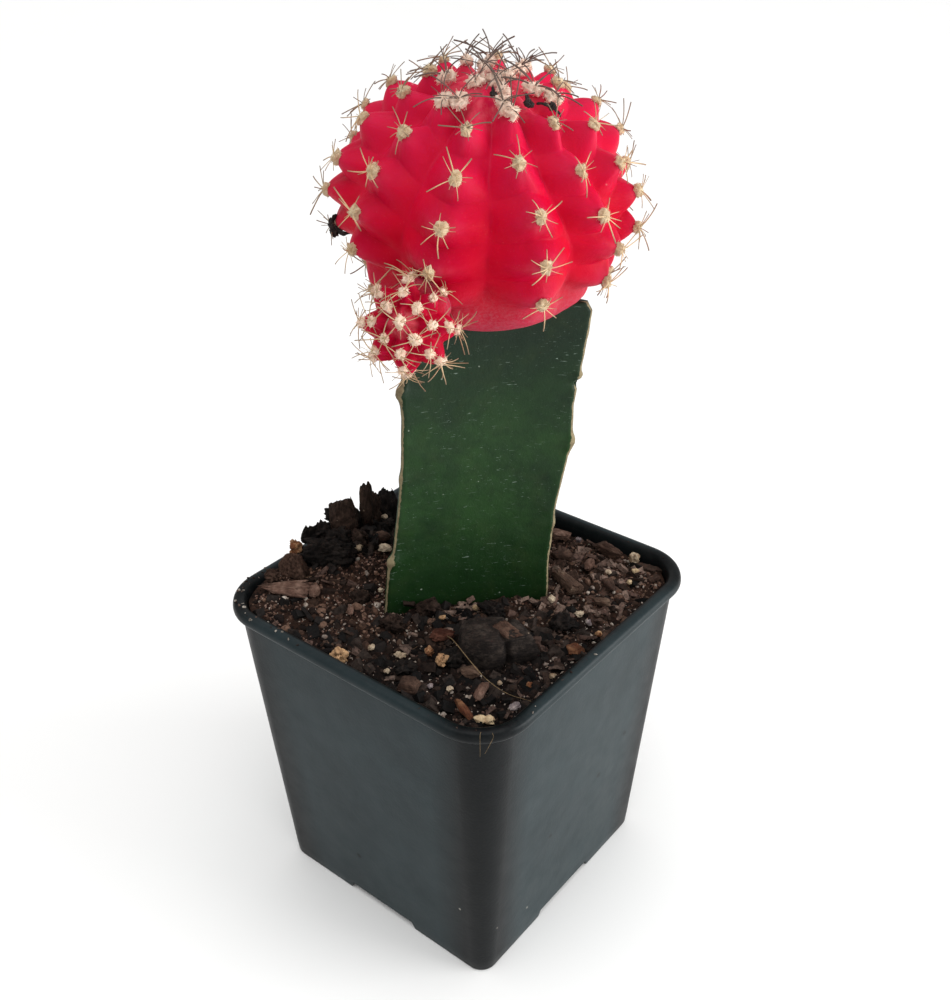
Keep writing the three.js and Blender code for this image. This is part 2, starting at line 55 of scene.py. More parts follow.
POT = {
    "height": 64.3,
    "base_half": 25.3,
    "base_corner": 3.2,
    "neck_half": 30.0,
    "neck_corner": 6.8,
    "lip_height": 3.2,
    "wall": 1.0,
    "floor": 1.2,
    "corner_steps": 14,
    "side_steps": 8,
    "wall_rings": 12,
    "inner_rings": 8,
    "crease": 38,  # degrees between faces, above which an edge is sharp
}
# The rolled lip, from under its outer edge, over the top and down inside the wall: how far it
# lies out from the neck, how far its corner radius grows, and its height under the top.
LIP = [
    (0.0, 0.0, -3.2),
    (0.35, 0.6, -2.95),
    (0.9, 1.4, -2.6),
    (1.75, 2.8, -1.9),
    (2.0, 3.4, -1.1),
    (1.7, 3.0, -0.3),
    (1.0, 2.2, 0.0),
    (0.2, 1.2, -0.05),
    (-0.5, 0.4, -0.6),
    (-0.95, -0.3, -1.8),
]
LIP_STEPS = 3  # rings between two points of the lip
# The top of the lip in the same terms, where grains lie.
LIP_TOP = [(1.5, 2.7, -0.12), (1.0, 2.2, 0.02), (0.4, 1.4, 0.0), (-0.1, 0.9, -0.15)]
# The pot's rounded foot: how far it lies in from the side, how much smaller its corner radius is
# there, and its height.
FOOT = [(0.5, 0.3, 0.0), (0.15, 0.1, 0.12), (0.0, 0.0, 0.5)]
DRAIN = {
    "length": 17.0,
    "slope": 1.6,  # run of its sloped ends
    "height": 1.8,
    "reach": 7.8,  # how far it runs in from the pot's side
    "cover": 1.2,  # thickness of the step over it
    "sill": 0.3,  # height at which that step begins
    "hole": 2.2,  # radius of the hole through the step
    "hole_sides": 24,
    "hole_inset": 4.6,
    "margin": 0.36,  # how far the step stays inside the pot's side
}
SOIL = {
    "level": 61.0,
    "mounds": [(-26, -5, 4.6, 11), (-30, -30, 1.4, 26), (-29, -26, 1.3, 8), (20, 30, 1.3, 22)],
    "gap": 0.3,
    "shoulder": 6.0,  # from the last ring of its walls up to its mean level
    "wall_rings": 6,
    "rings": 84,
    "edge_rings": 6,  # the outermost, over which its lumps grow to their full height
    "columns": 344,
}
STEM = {
    "middle": (3.1, -1.9),
    "along": 48.4,
    "width": 30.2,  # across the front face at soil level
    "depth": 23.7,  # front face to back rib, where the front is that wide
    "rib_end": 1.7,
    "hollow": (1.1, 2.2, 2.2),
    "face_steps": 26,
    "rib_steps": 5,
    "rows": 150,
    "cap_rings": 9,
    "root": 36.0,
    "top": 118.0,
    "sink": 0.3,  # how far its top reaches into the flesh of the ball
}
# Heights, and where the left and right ribs stand along the front face there.
STEM_RIBS = [
    (36, -13.6, 13.6),
    (60, -15.1, 15.1),
    (70, -14.0, 15.2),
    (73, -13.0, 15.5),
    (80, -12.0, 16.1),
    (88, -11.0, 17.6),
    (93.5, -10.6, 18.6),
    (100, -10.3, 18.7),
    (104.5, -10.5, 19.4),
    (108, -9.6, 20.0),
    (116.3, -9.0, 21.2),
    (118, -8.6, 20.3),
]
# Corky bumps where the stem's old areoles stand, and the nick in its right rib: rib, height,
# how far it stands out and how tall it is.
STEM_BUMPS = [
    ("left", 72.3, 0.9, 1.3),
    ("left", 104.6, 0.9, 1.6),
    ("left", 88.5, 0.25, 1.4),
    ("right", 92.8, 0.7, 1.6),
    ("right", 105.2, 0.55, 0.7),
    ("right", 103.7, -0.9, 0.6),
    ("right", 77.0, 0.25, 1.2),
    ("back", 72.0, 0.8, 1.4),
    ("back", 89.0, 0.8, 1.5),
    ("back", 105.0, 0.8, 1.5),
]
# A ribbed body is an ellipsoid through its areoles, with grooves between the ribs and a notch
# between each areole and the next. It is smooth round its foot, where it grows from its carrier.
BALL = {
    "centre": (0.3, 7.1, 133.8),
    "axis": (0.21, -0.17, 0.96),
    "front": (0.63, -0.78, 0),
    "foot": (0, 0, -1),
    "smooth": (38, 62),
    "equator": 24.4,
    "pole": 19.2,
    "groove": 3.6,
    "notch": 2.3,
    "calm": (10, 62, 0.8),  # the notches are shallower round this azimuth, this far, to this share
    # azimuth, latitude of the first areole, the step from one areole to the next, and how far
    # each areole stands to the side of the rib's azimuth, the last value holding for the rest
    "ribs": {
        "a": (-17, 62, 19.6, (0, 2, 0.5, -2)),
        "b": (20, 71, 21, (0.5, -4.7, 0.7, 1.3, 2, 4)),
        "c": (50, 61, 20, (0, -4.5, -2, 6)),
        "d": (77, 68, 17.6, (0, 0, -5, 1, -1)),
        "e": (110, 64, 19.5, (0,)),
        "f": (143, 70, 19.5, (0,)),
        "g": (175, 60, 19.5, (0,)),
        "h": (208, 71, 19.5, (0,)),
        "i": (241, 65, 19.5, (0,)),
        "j": (273.5, 58.5, 18.6, (-4, -1.5, 4.5, 1.5)),
        "k": (306.5, 70, 18.6, (0,)),
    },
    "notches": 6,
    "columns": 28,
    "row_steps": 15,
    "lump": 0.3,
    "crown": 0.55,  # how much of its wool the growing point sheds on the skin
}
PUP = {
    "centre": (5.6, -17.1, 121.2),
    "axis": (0.44, -0.78, 0.44),
    "front": (0, 0, 1),
    "foot": (-0.2, 0.87, 0.44),
    "smooth": (30, 60),
    "equator": 7.2,
    "pole": 6.8,
    "groove": 1.7,
    "notch": 1.3,
    "calm": (0, 1, 1.0),
    "ribs": {i: (45 * i, 64 if i % 2 else 52, 26, (0,)) for i in range(8)},
    "notches": 4,
    "columns": 16,
    "row_steps": 9,
    "lump": 0.1,
    "crown": 0.2,
}
FOOT_ROWS = 4


# ---- Meshes -----------------------------------------------------------------------------------
def own(obj, slot, *nodes):
    """Ties a finished piece to the frame: its body, and the nodes that it stands for, which it hides. slot,
    its finish, is not used.
    """
    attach(obj, BODY)
    if nodes:
        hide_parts(*nodes)
    return obj


def mark(mesh, name, values, kind="FLOAT"):
    """Gives each point of a mesh its own number, or its own three as a FLOAT_VECTOR."""
    kept = mesh.attributes.new(name, kind, "POINT").data
    kept.foreach_set("value" if kind == "FLOAT" else "vector", np.ravel(values))


def patch(points, faces, loose):
    """A bare surface to strew pieces over, with its mask of where they lie."""
    mesh = bpy.data.meshes.new("patch")
    mesh.from_pydata((points * MM).tolist(), [], faces)
    mark(mesh, "loose", loose)
    return mesh


def piece_from(name, points, faces, material, masks=None):
    """A smooth piece from points in millimetres, with a number for each point under each mask."""
    mesh = bpy.data.meshes.new(name)
    mesh.from_pydata((np.asarray(points, float) * MM).tolist(), [], faces)
    for key, values in (masks or {}).items():
        mark(mesh, key, values)
    mesh.shade_smooth()
    mesh.materials.append(material)
    obj = bpy.data.objects.new(name, mesh)
    bpy.context.scene.collection.objects.link(obj)
    return obj


def strips(levels, count):
    """The faces between rings of count points, each ring joined to the next."""
    after = [*range(1, count), 0]
    return [
        (start + i, start + after[i], start + count + after[i], start + count + i)
        for start in range(0, (levels - 1) * count, count)
        for i in range(count)
    ]


def loft(rings):
    """Points and faces of a closed skin over rings of equal length, with a fan at each end.
    Rings run anticlockwise seen from above and go up the outside."""
    rings = np.asarray(rings, float)
    levels, count = rings.shape[:2]
    points = np.vstack([rings.reshape(-1, 3), rings[0].mean(0), rings[-1].mean(0)])
    first, last = levels * count, levels * count + 1
    faces = strips(levels, count)
    top = (levels - 1) * count
    for i in range(count):
        after = (i + 1) % count
        faces.append((first, after, i))
        faces.append((last, top + i, top + after))
    return points, faces


def square_ring(half, corner, z, corner_steps=POT["corner_steps"], side_steps=POT["side_steps"]):
    """A square ring with round corners, anticlockwise."""
    ring = []
    for side in range(4):
        turn = side * pi / 2
        across = np.array([[cos(turn), -sin(turn)], [sin(turn), cos(turn)]])
        angles = turn + np.linspace(0, pi / 2, corner_steps + 1)
        middle = across @ np.array([half - corner, half - corner])
        arc = middle + corner * np.stack([np.cos(angles), np.sin(angles)], 1)
        end = across @ np.array([-half + corner, half])
        shares = np.arange(1, side_steps) / side_steps
        ring.extend(arc)
        ring.extend(arc[-1] + (end - arc[-1]) * shares[:, None])
    ring = np.array(ring)
    return np.column_stack([ring, np.full(len(ring), z)])


def smooth_path(points, steps):
    """The points of a path with smooth curves between them, steps for each stretch."""
    points = np.asarray(points, float)
    padded = np.vstack([2 * points[0] - points[1], points, 2 * points[-1] - points[-2]])
    path = []
    for i in range(len(points) - 1):
        before, start, end, after = padded[i:i + 4]
        for t in np.arange(steps) / steps:
            path.append(0.5 * (
                2 * start + (end - before) * t + (2 * before - 5 * start + 4 * end - after) * t**2
                + (3 * start - before - 3 * end + after) * t**3
            ))
    path.append(points[-1])
    return np.array(path)


def tube(path, radii, sides):
    """Points and faces of a closed tube along a path."""
    path = np.asarray(path, float)
    along = np.gradient(path, axis=0)
    along /= np.linalg.norm(along, axis=1)[:, None]
    side = np.cross(along[0], (0.3, 0.2, 1))
    rings = []
    for point, direction, radius in zip(path, along, radii):
        side = side - direction * (side @ direction)
        side /= np.linalg.norm(side)
        other = np.cross(direction, side)
        angles = np.arange(sides) * tau / sides
        circle = np.outer(np.cos(angles), side) + np.outer(np.sin(angles), other)
        rings.append(point + radius * circle)
    return loft(rings)


def joined(parts):
    """Several (points, faces) as one."""
    points, faces, count = [], [], 0
    for part_points, part_faces in parts:
        points.append(part_points)
        faces.extend(tuple(i + count for i in face) for face in part_faces)
        count += len(part_points)
    return np.vstack(points), faces


def ease(low, high, value):
    share = np.clip((value - low) / (high - low), 0, 1)
    return share * share * (3 - 2 * share)


def unit(vector):
    vector = np.asarray(vector, float)
    return vector / np.linalg.norm(vector)


def bumps(points, size, seed, octaves=3):
    """Smooth noise at each point, about -1 to 1, with features of that size."""
    shift = Vector((seed * 7.3, seed * 3.1, seed * 5.7))
    return np.array([
        noise.fractal(Vector(p) / size + shift, 1.0, 2.0, octaves) for p in np.asarray(points)
    ])


# ---- Nodes ------------------------------------------------------------------------------------
def plug(tree, socket, value):
    if isinstance(value, bpy.types.NodeSocket):
        tree.links.new(value, socket)
    else:
        socket.default_value = value


def add(tree, kind, inputs=None, **settings):
    """A node with its settings and its inputs, by name or place, each a value or a socket."""
    made = tree.nodes.new(kind)
    for key, value in settings.items():
        setattr(made, key, value)
    for key, value in (inputs or {}).items():
        plug(tree, made.inputs[key], value)
    return made


def calc(tree, operation, a, b=0.0):
    return add(tree, "ShaderNodeMath", {0: a, 1: b}, operation=operation).outputs[0]


def fit(tree, value, low, high, start=0.0, end=1.0):
    """value taken from the range low to high into the range start to end, and held there."""
    inputs = {"Value": value, "From Min": low, "From Max": high, "To Min": start, "To Max": end}
    return add(tree, "ShaderNodeMapRange", inputs).outputs["Result"]


def mix(tree, share, first, second):
    made = add(tree, "ShaderNodeMix", data_type="RGBA")
    for place, value in ((0, share), (6, first), (7, second)):
        plug(tree, made.inputs[place], value)
    return made.outputs[2]


def vector_calc(tree, operation, a, b=(0, 0, 0)):
    return add(tree, "ShaderNodeVectorMath", {0: a, 1: b}, operation=operation).outputs[0]


def clouds(tree, place, scale, detail=3.0, roughness=0.55, distortion=0.0, colour=False):
    inputs = {"Vector": place, "Scale": scale, "Detail": detail, "Roughness": roughness}
    inputs["Distortion"] = distortion
    return add(tree, "ShaderNodeTexNoise", inputs).outputs["Color" if colour else "Fac"]


def paint(code):
    """A linear colour from the hex code of the one seen."""
    seen = [int(code[i:i + 2], 16) / 255 for i in (0, 2, 4)]
    return tuple(c / 12.92 if c <= 0.04045 else ((c + 0.055) / 1.055) ** 2.4 for c in seen) + (1,)


def mask_group(name, inputs, outputs, kind="ShaderNodeTree"):
    """An empty node group with its sockets: name, kind of socket and starting value."""
    tree = bpy.data.node_groups.new(name, kind)
    for label, socket_kind, value in inputs:
        socket = tree.interface.new_socket(label, in_out="INPUT", socket_type="NodeSocket" + socket_kind)
        if value is not None:
            socket.default_value = value
    for label, socket_kind in outputs:
        tree.interface.new_socket(label, in_out="OUTPUT", socket_type="NodeSocket" + socket_kind)
    return tree, add(tree, "NodeGroupInput").outputs, add(tree, "NodeGroupOutput").inputs


def effect_group(name, *outputs, **numbers):
    """A shader group that takes a place and those numbers, and puts out masks."""
    inputs = [("Place", "Vector", None), *((label, "Float", value) for label, value in numbers.items())]
    return mask_group(name, inputs, [(label, "Float") for label in outputs])


def mottle_group():
    """Soft blotches at one scale broken up by finer ones."""
    tree, given, result = effect_group("Mottle", "Mask", Size=1.0, Low=0.35, High=0.65)
    wide = clouds(tree, given["Place"], calc(tree, "DIVIDE", 1.0, given["Size"]), 2.0, 0.5, 0.4)
    fine = clouds(tree, given["Place"], calc(tree, "DIVIDE", 4.7, given["Size"]), 3.0, 0.6)
    both = calc(tree, "ADD", calc(tree, "MULTIPLY", wide, 0.7), calc(tree, "MULTIPLY", fine, 0.3))
    plug(tree, result["Mask"], fit(tree, both, given["Low"], given["High"]))
    return tree


def speck_group():
    """Scattered round specks, more or fewer of them by Share."""
    tree, given, result = effect_group("Specks", "Mask", Spacing=1.0, Radius=0.2, Share=0.5)
    wobble = clouds(tree, given["Place"], calc(tree, "DIVIDE", 3.0, given["Spacing"]), 2.0, colour=True)
    shifted = vector_calc(tree, "MULTIPLY_ADD", wobble, (0.5, 0.5, 0.5))
    plug(tree, shifted.node.inputs[2], given["Place"])
    cells = add(
        tree,
        "ShaderNodeTexVoronoi",
        {"Vector": shifted, "Scale": calc(tree, "DIVIDE", 1.0, given["Spacing"])},
    )
    chosen = add(tree, "ShaderNodeSeparateColor", {0: cells.outputs["Color"]}).outputs[0]
    wanted = calc(tree, "LESS_THAN", chosen, given["Share"])
    core = calc(tree, "MULTIPLY", given["Radius"], 0.6)
    spot = fit(tree, cells.outputs["Distance"], given["Radius"], core)
    plug(tree, result["Mask"], calc(tree, "MULTIPLY", spot, wanted))
    return tree


def grain_group():
    """Fibres drawn out along X: a mask for their colour and a height for their relief."""
    tree, given, result = effect_group("Grain", "Mask", "Height", Width=0.2, Length=2.0)
    across = calc(tree, "DIVIDE", 1.0, given["Width"])
    squeeze = add(
        tree,
        "ShaderNodeCombineXYZ",
        {0: calc(tree, "DIVIDE", 1.0, given["Length"]), 1: across, 2: across},
    )
    drawn = vector_calc(tree, "MULTIPLY", given["Place"], squeeze.outputs[0])
    strands = clouds(tree, drawn, 1.0, 4.0, 0.65, 0.5)
    cracks = clouds(tree, drawn, 0.45, 2.0, 0.5, 1.2)
    plug(tree, result["Mask"], fit(tree, strands, 0.32, 0.68))
    cracked = fit(tree, cracks, 0.3, 0.45)
    plug(tree, result["Height"], calc(tree, "MULTIPLY", strands, cracked))
    return tree


def dust_group():
    """Fine dust, thickest on what faces up."""
    tree, given, result = effect_group("Dust", "Mask", Size=2.0, Amount=0.5)
    normal = add(tree, "ShaderNodeNewGeometry").outputs["Normal"]
    up = add(tree, "ShaderNodeSeparateXYZ", {0: normal}).outputs[2]
    settled = fit(tree, up, -0.1, 0.9, 0.25, 1.0)
    patches = clouds(tree, given["Place"], calc(tree, "DIVIDE", 1.0, given["Size"]), 5.0, 0.7)
    patchy = fit(tree, patches, 0.42, 0.72)
    amount = calc(tree, "MULTIPLY", calc(tree, "MULTIPLY", settled, patchy), given["Amount"])
    plug(tree, result["Mask"], amount)
    return tree


GROUPS = {
    "mottle": mottle_group(),
    "specks": speck_group(),
    "grain": grain_group(),
    "dust": dust_group(),
}


class Finish:
    """A material and its shader, with short calls for the effects that several finishes share."""

    def __init__(self, name, **constants):
        self.material = bpy.data.materials.new(name)
        self.material.use_nodes = True
        self.tree = self.material.node_tree
        self.shader = self.tree.nodes["Principled BSDF"]
        for label, value in constants.items():
            self.shader.inputs[label.replace("_", " ")].default_value = value
        place = add(self.tree, "ShaderNodeTexCoord").outputs["Object"]
        self.place = vector_calc(self.tree, "MULTIPLY", place, (1 / MM,) * 3)

    def effect(self, group, output="Mask", **values):
        made = add(self.tree, "ShaderNodeGroup", node_tree=GROUPS[group])
        plug(self.tree, made.inputs["Place"], values.pop("Place", self.place))
        for label, value in values.items():
            plug(self.tree, made.inputs[label], value)
        return made.outputs[output]

    def attribute(self, name):
        return add(self.tree, "ShaderNodeAttribute", attribute_name=name).outputs["Fac"]

    def own_place(self):
        """The piece's own millimetres, with X along its fibres, wherever it lies."""
        return add(self.tree, "ShaderNodeAttribute", attribute_name="own").outputs["Vector"]

    def along(self, axis):
        """Millimetres along X, Y or Z."""
        return add(self.tree, "ShaderNodeSeparateXYZ", {0: self.place}).outputs[axis]

    def clouds(self, size, **settings):
        return clouds(self.tree, self.place, 1 / size, **settings)

    def uneven(self, size, low, high, **settings):
        """A value that drifts between low and high over patches of that size."""
        return self.fit(self.clouds(size, **settings), 0.3, 0.7, low, high)

    def mix(self, share, first, second):
        return mix(self.tree, share, first, second)

    def tint(self, body, mask, code, share=None):
        """body in another colour where the mask is, or that share of it."""
        if share is not None:
            mask = self.calc("MULTIPLY", mask, share)
        return self.mix(mask, body, paint(code))

    def fit(self, *values):
        return fit(self.tree, *values)

    def calc(self, *values):
        return calc(self.tree, *values)

    def coat(self, colour, roughness):
        plug(self.tree, self.shader.inputs["Base Color"], colour)
        plug(self.tree, self.shader.inputs["Roughness"], roughness)

    def bump(self, height, depth):
        """Relief of that many millimetres."""
        inputs = {"Height": height, "Strength": 1.0, "Distance": depth * MM}
        made = add(self.tree, "ShaderNodeBump", inputs)
        plug(self.tree, self.shader.inputs["Normal"], made.outputs["Normal"])


# ---- Finishes ---------------------------------------------------------------------------------
def pot_plastic():
    """Black moulded plastic, faintly cloudy, scuffed and a little dusty, with painted shade on its lip,
    down its vertical corners and inside its wall.
    """
    f = Finish("pot_plastic", Specular_IOR_Level=0.12)
    cloudy = f.effect("mottle", Size=11.0, Low=0.3, High=0.7)
    body = f.mix(cloudy, paint("1d282b"), paint("253134"))
    # Painted shade: the lip and the top of the wall darken towards near black above 61 mm.
    body = f.tint(body, f.fit(f.along("Z"), 61.0, 63.0, 0.0, 0.22), "090b0c")
    # Painted shade: near black down the pot's rounded vertical corners, standing in for a dark reflection
    # there.
    across, along = (f.calc("ABSOLUTE", f.along(axis)) for axis in "XY")
    corner = f.calc("DIVIDE", f.calc("MINIMUM", across, along), f.calc("MAXIMUM", across, along))
    body = f.tint(body, f.fit(corner, 0.58, 0.82), "030608")
    # Painted shade: the inner wall above the mix is darkened towards near black.
    facing = add(f.tree, "ShaderNodeNewGeometry").outputs["Normal"]
    level = vector_calc(f.tree, "MULTIPLY", f.place, (1, 1, 0))
    outward = vector_calc(f.tree, "DOT_PRODUCT", level, facing).node.outputs["Value"]
    inside = f.fit(outward, 0.0, -12.0)
    body = f.tint(body, inside, "090b0c", 0.85)
    scratches = f.effect("grain", Width=0.3, Length=9.0)
    body = f.tint(body, scratches, "4a5053", 0.04)
    dust = f.effect("dust", Size=1.6, Amount=0.02)
    body = f.tint(body, dust, "8f8f8b")
    spots = f.effect("specks", Spacing=4.6, Radius=0.15, Share=0.10)
    body = f.tint(body, spots, "060708", 0.8)
    crumbs = f.effect("specks", Spacing=5.2, Radius=0.06, Share=0.10)
    body = f.tint(body, crumbs, "a8a49a", 0.7)
    rough = f.calc("ADD", f.uneven(4.0, 0.36, 0.44, detail=5.0), f.calc("MULTIPLY", dust, 0.6))
    f.coat(body, rough)
    f.bump(f.calc("ADD", f.clouds(0.5), f.calc("MULTIPLY", f.clouds(14.0), 3.0)), 0.03)
    return f.material


def dampened(f, body, share=0.8):
    """Near black where the mix is damp, towards the front corner of the pot."""
    front = f.calc("SUBTRACT", f.along("X"), f.along("Y"))
    uneven = f.calc("ADD", front, f.uneven(9.0, -9.0, 9.0))
    return f.tint(body, f.fit(uneven, 4.0, 30.0), "0b0909", share)


def mix_soil(name, dark, pale):
    """Damp peat between the crumbs, painted nearly black as the shade of the hollows among them."""
    f = Finish(name, Specular_IOR_Level=0.12)
    crumbs = f.effect("mottle", Size=2.4, Low=0.35, High=0.68)
    body = f.mix(crumbs, paint(dark), paint(pale))
    # Painted shade: near-black patches that stand for the hollows among the crumbs.
    body = f.tint(body, f.effect("mottle", Size=0.7, Low=0.45, High=0.7), "0c0807")
    pale_grains = f.effect("specks", Spacing=0.8, Radius=0.2, Share=0.10)
    body = f.tint(body, pale_grains, "9c8672", 0.5)
    f.coat(dampened(f, body), f.uneven(0.8, 0.8, 0.98))
    f.bump(f.clouds(0.5, detail=6.0, roughness=0.7), 0.35)
    return f.material


def shaded_by_piece(f, shades):
    """A colour for each loose piece, from the first shade to the last."""
    shade = f.attribute("shade")
    body = paint(shades[0])
    for i, code in enumerate(shades[1:]):
        start = (i + 0.6) / len(shades)
        body = f.tint(body, f.fit(shade, start, start + 0.16), code)
    return body


def crumb_finish(name, shades, rough=0.9, damp=0.0):
    """Loose crumbs, each of its own shade, mottled and darker where the mix is damp."""
    f = Finish(name, Specular_IOR_Level=0.15)
    body = shaded_by_piece(f, shades)
    body = f.tint(body, f.effect("mottle", Size=0.6, Low=0.42, High=0.72), "120c0a")
    if damp:
        body = dampened(f, body, damp)
    f.coat(body, f.uneven(0.5, rough - 0.12, rough + 0.06))
    f.bump(f.clouds(0.25, detail=5.0, roughness=0.7), 0.12)
    return f.material


def grit_finish(name, shades, stain="5a3c28"):
    """Stony grains, cream to grey, each of its own shade, with stained pits."""
    f = Finish(name, Specular_IOR_Level=0.25)
    body = shaded_by_piece(f, shades)
    body = f.tint(body, f.effect("mottle", Size=1.5, Low=0.45, High=0.62), shades[-1])
    pits = f.effect("mottle", Size=0.8, Low=0.42, High=0.68)
    body = f.tint(body, pits, stain, 0.7)
    freckles = f.effect("specks", Spacing=0.5, Radius=0.22, Share=0.25)
    body = f.tint(body, freckles, "3a2a20", 0.6)
    f.coat(body, f.uneven(0.6, 0.6, 0.9))
    f.bump(f.clouds(0.22, detail=5.0, roughness=0.7), 0.12)
    return f.material


def bark_finish(name, dark, middle, pale):
    """Weathered bark with drawn out fibres, paler along its ridges."""
    f = Finish(name, Specular_IOR_Level=0.15)
    fibres = {"Place": f.own_place(), "Width": 0.16, "Length": 1.44}
    grain = f.effect("grain", **fibres)
    relief = f.effect("grain", output="Height", **fibres)
    body = f.mix(grain, paint(dark), paint(middle))
    body = f.tint(body, f.effect("mottle", Size=3.0, Low=0.5, High=0.75), pale)
    body = f.tint(body, f.effect("mottle", Size=1.1, Low=0.5, High=0.72), dark)
    body = f.tint(body, f.attribute("ridge"), pale)
    body = f.tint(body, f.effect("dust", Size=0.9, Amount=0.22), "5a483c")
    body = f.tint(body, f.effect("specks", Spacing=1.3, Radius=0.16, Share=0.15), "a08c78", 0.6)
    f.coat(body, f.fit(grain, 0.0, 1.0, 0.95, 0.78))
    f.bump(relief, 0.25)
    return f.material


def flesh_finish(name, deep, painted_lit_red, streak_and_sheen):
    """Waxy red skin, painted brighter red in the grooves and darker on the flanks as light and shade, paler
    in streaks under each areole, with a painted sheen round it.
    """
    f = Finish(name, Specular_IOR_Level=0.06, Subsurface_Weight=0.3, Subsurface_Scale=0.0025)
    f.shader.inputs["Subsurface Radius"].default_value = (1.0, 0.15, 0.2)
    groove = f.attribute("groove")
    cloudy = f.effect("mottle", Size=6.0, Low=0.3, High=0.7)
    # Painted light and shade: the grooves get a brighter red against their shade, and the open flanks a
    # darker red against their light.
    open_skin = f.calc("MULTIPLY", f.fit(groove, 0.05, 0.75, 1.0, 0.15), f.fit(cloudy, 0.0, 1.0, 0.55, 1.0))
    body = f.mix(open_skin, paint(deep), paint(painted_lit_red))
    blush = f.calc("MULTIPLY", f.effect("mottle", Size=3.2, Low=0.42, High=0.72), open_skin)
    body = f.tint(body, blush, "c4184a", 0.5)
    crown = f.calc("MULTIPLY", f.attribute("crown"), f.effect("mottle", Size=1.6, Low=0.35, High=0.6))
    body = f.tint(body, crown, "dfa199")
    pores = f.effect("specks", Spacing=0.42, Radius=0.2, Share=0.5)
    body = f.tint(body, pores, "ffb9bc", 0.04)
    # Both at once: real paler streaks under the areoles, and a painted sheen on the tubercle tops round
    # them.
    streaks = f.calc("MULTIPLY", f.attribute("pale"), f.fit(f.clouds(1.3, detail=5.0), 0.3, 0.65, 0.2, 1.0))
    body = f.tint(body, streaks, streak_and_sheen)
    # Painted light: the top of the ball paler and pinker, as lit from above.
    high = f.calc("MULTIPLY", f.fit(f.along("Z"), 134.0, 150.0), 0.7)
    body = f.tint(body, high, "d01c48")
    bloom = f.fit(f.clouds(0.5, detail=6.0, roughness=0.85), 0.4, 0.66, 0.12, 0.75)
    body = f.tint(body, f.calc("MULTIPLY", f.attribute("under"), bloom), "a86a74")
    scars = f.effect("specks", Spacing=5.0, Radius=0.05, Share=0.25)
    body = f.tint(body, scars, "e9a3a4", 0.4)
    rough = f.uneven(2.2, 0.42, 0.56, detail=4.0)
    f.coat(body, rough)
    f.bump(f.calc("ADD", f.clouds(0.28, detail=3.0), f.calc("MULTIPLY", f.clouds(2.4), 3.0)), 0.04)
    return f.material


def stem_finish():
    """Dark green skin, bluer towards the top, with painted light round its middle, pale scratches and corky
    tan rib edges.
    """
    f = Finish("stem_skin", Specular_IOR_Level=0.2)
    body = f.mix(f.fit(f.along("Z"), 60.0, 112.0), paint("0e290c"), paint("16281a"))
    # Painted light: a lighter green round the middle of the stem, so that its top under the ball and its
    # foot stay darker as shade.
    middle = f.calc("MULTIPLY", f.fit(f.along("Z"), 62.0, 82.0), f.fit(f.along("Z"), 112.0, 92.0))
    painted_light_band = f.calc("MULTIPLY", middle, f.effect("mottle", Size=9.0, Low=0.3, High=0.6))
    body = f.tint(body, painted_light_band, "26451f", 0.75)
    brownish = f.calc("MULTIPLY", f.effect("mottle", Size=5.0, Low=0.5, High=0.75), 0.35)
    body = f.tint(body, brownish, "2b3a1c")
    body = f.tint(body, f.effect("mottle", Size=1.6, Low=0.5, High=0.8), "0b1f0f", 0.5)
    patchy = f.effect("mottle", Size=8.0, Low=0.40, High=0.58)
    for stretch, low, strength in (((0.6, 0.6, 4.8), 0.662, 0.4), ((1.5, 1.5, 8.0), 0.69, 0.6)):
        drawn = add(f.tree, "ShaderNodeMapping", {"Vector": f.place, "Scale": stretch})
        dash = f.fit(clouds(f.tree, drawn.outputs[0], 0.9, 3.0, 0.6, 0.6), low, low + 0.03)
        body = f.tint(body, f.calc("MULTIPLY", dash, patchy), "9fb3a6", strength)
    flecks = f.effect("specks", Spacing=3.4, Radius=0.05, Share=0.3)
    body = f.tint(body, flecks, "a8b5a4", 0.5)
    uneven = f.uneven(0.9, -0.22, 0.22, detail=4.0)
    cork = f.fit(f.calc("ADD", f.attribute("cork"), uneven), 0.5, 0.62)
    bark = f.mix(f.effect("mottle", Size=1.1, Low=0.45, High=0.8), paint("867a5e"), paint("4c3c2c"))
    body = f.mix(cork, body, bark)
    f.coat(body, f.calc("ADD", f.uneven(2.0, 0.42, 0.54), f.calc("MULTIPLY", cork, 0.35)))
    f.bump(f.calc("ADD", f.clouds(0.35, detail=4.0), f.calc("MULTIPLY", f.clouds(3.0), 3.0)), 0.05)
    return f.material


def wool_finish(name, pale, deep):
    """Felted wool: cream with brown flecks, blushed where the growing point is young."""
    f = Finish(name, Specular_IOR_Level=0.1, Sheen_Weight=0.3)
    body = f.mix(f.effect("mottle", Size=0.7, Low=0.3, High=0.7), paint(deep), paint(pale))
    body = f.tint(body, f.attribute("young"), "fbd9cc", 0.4)
    flecks = f.effect("specks", Spacing=0.34, Radius=0.24, Share=0.4)
    body = f.tint(body, flecks, "70502f", 0.7)
    f.coat(body, f.uneven(0.4, 0.85, 1.0))
    f.bump(f.clouds(0.18, detail=5.0, roughness=0.7), 0.12)
    return f.material


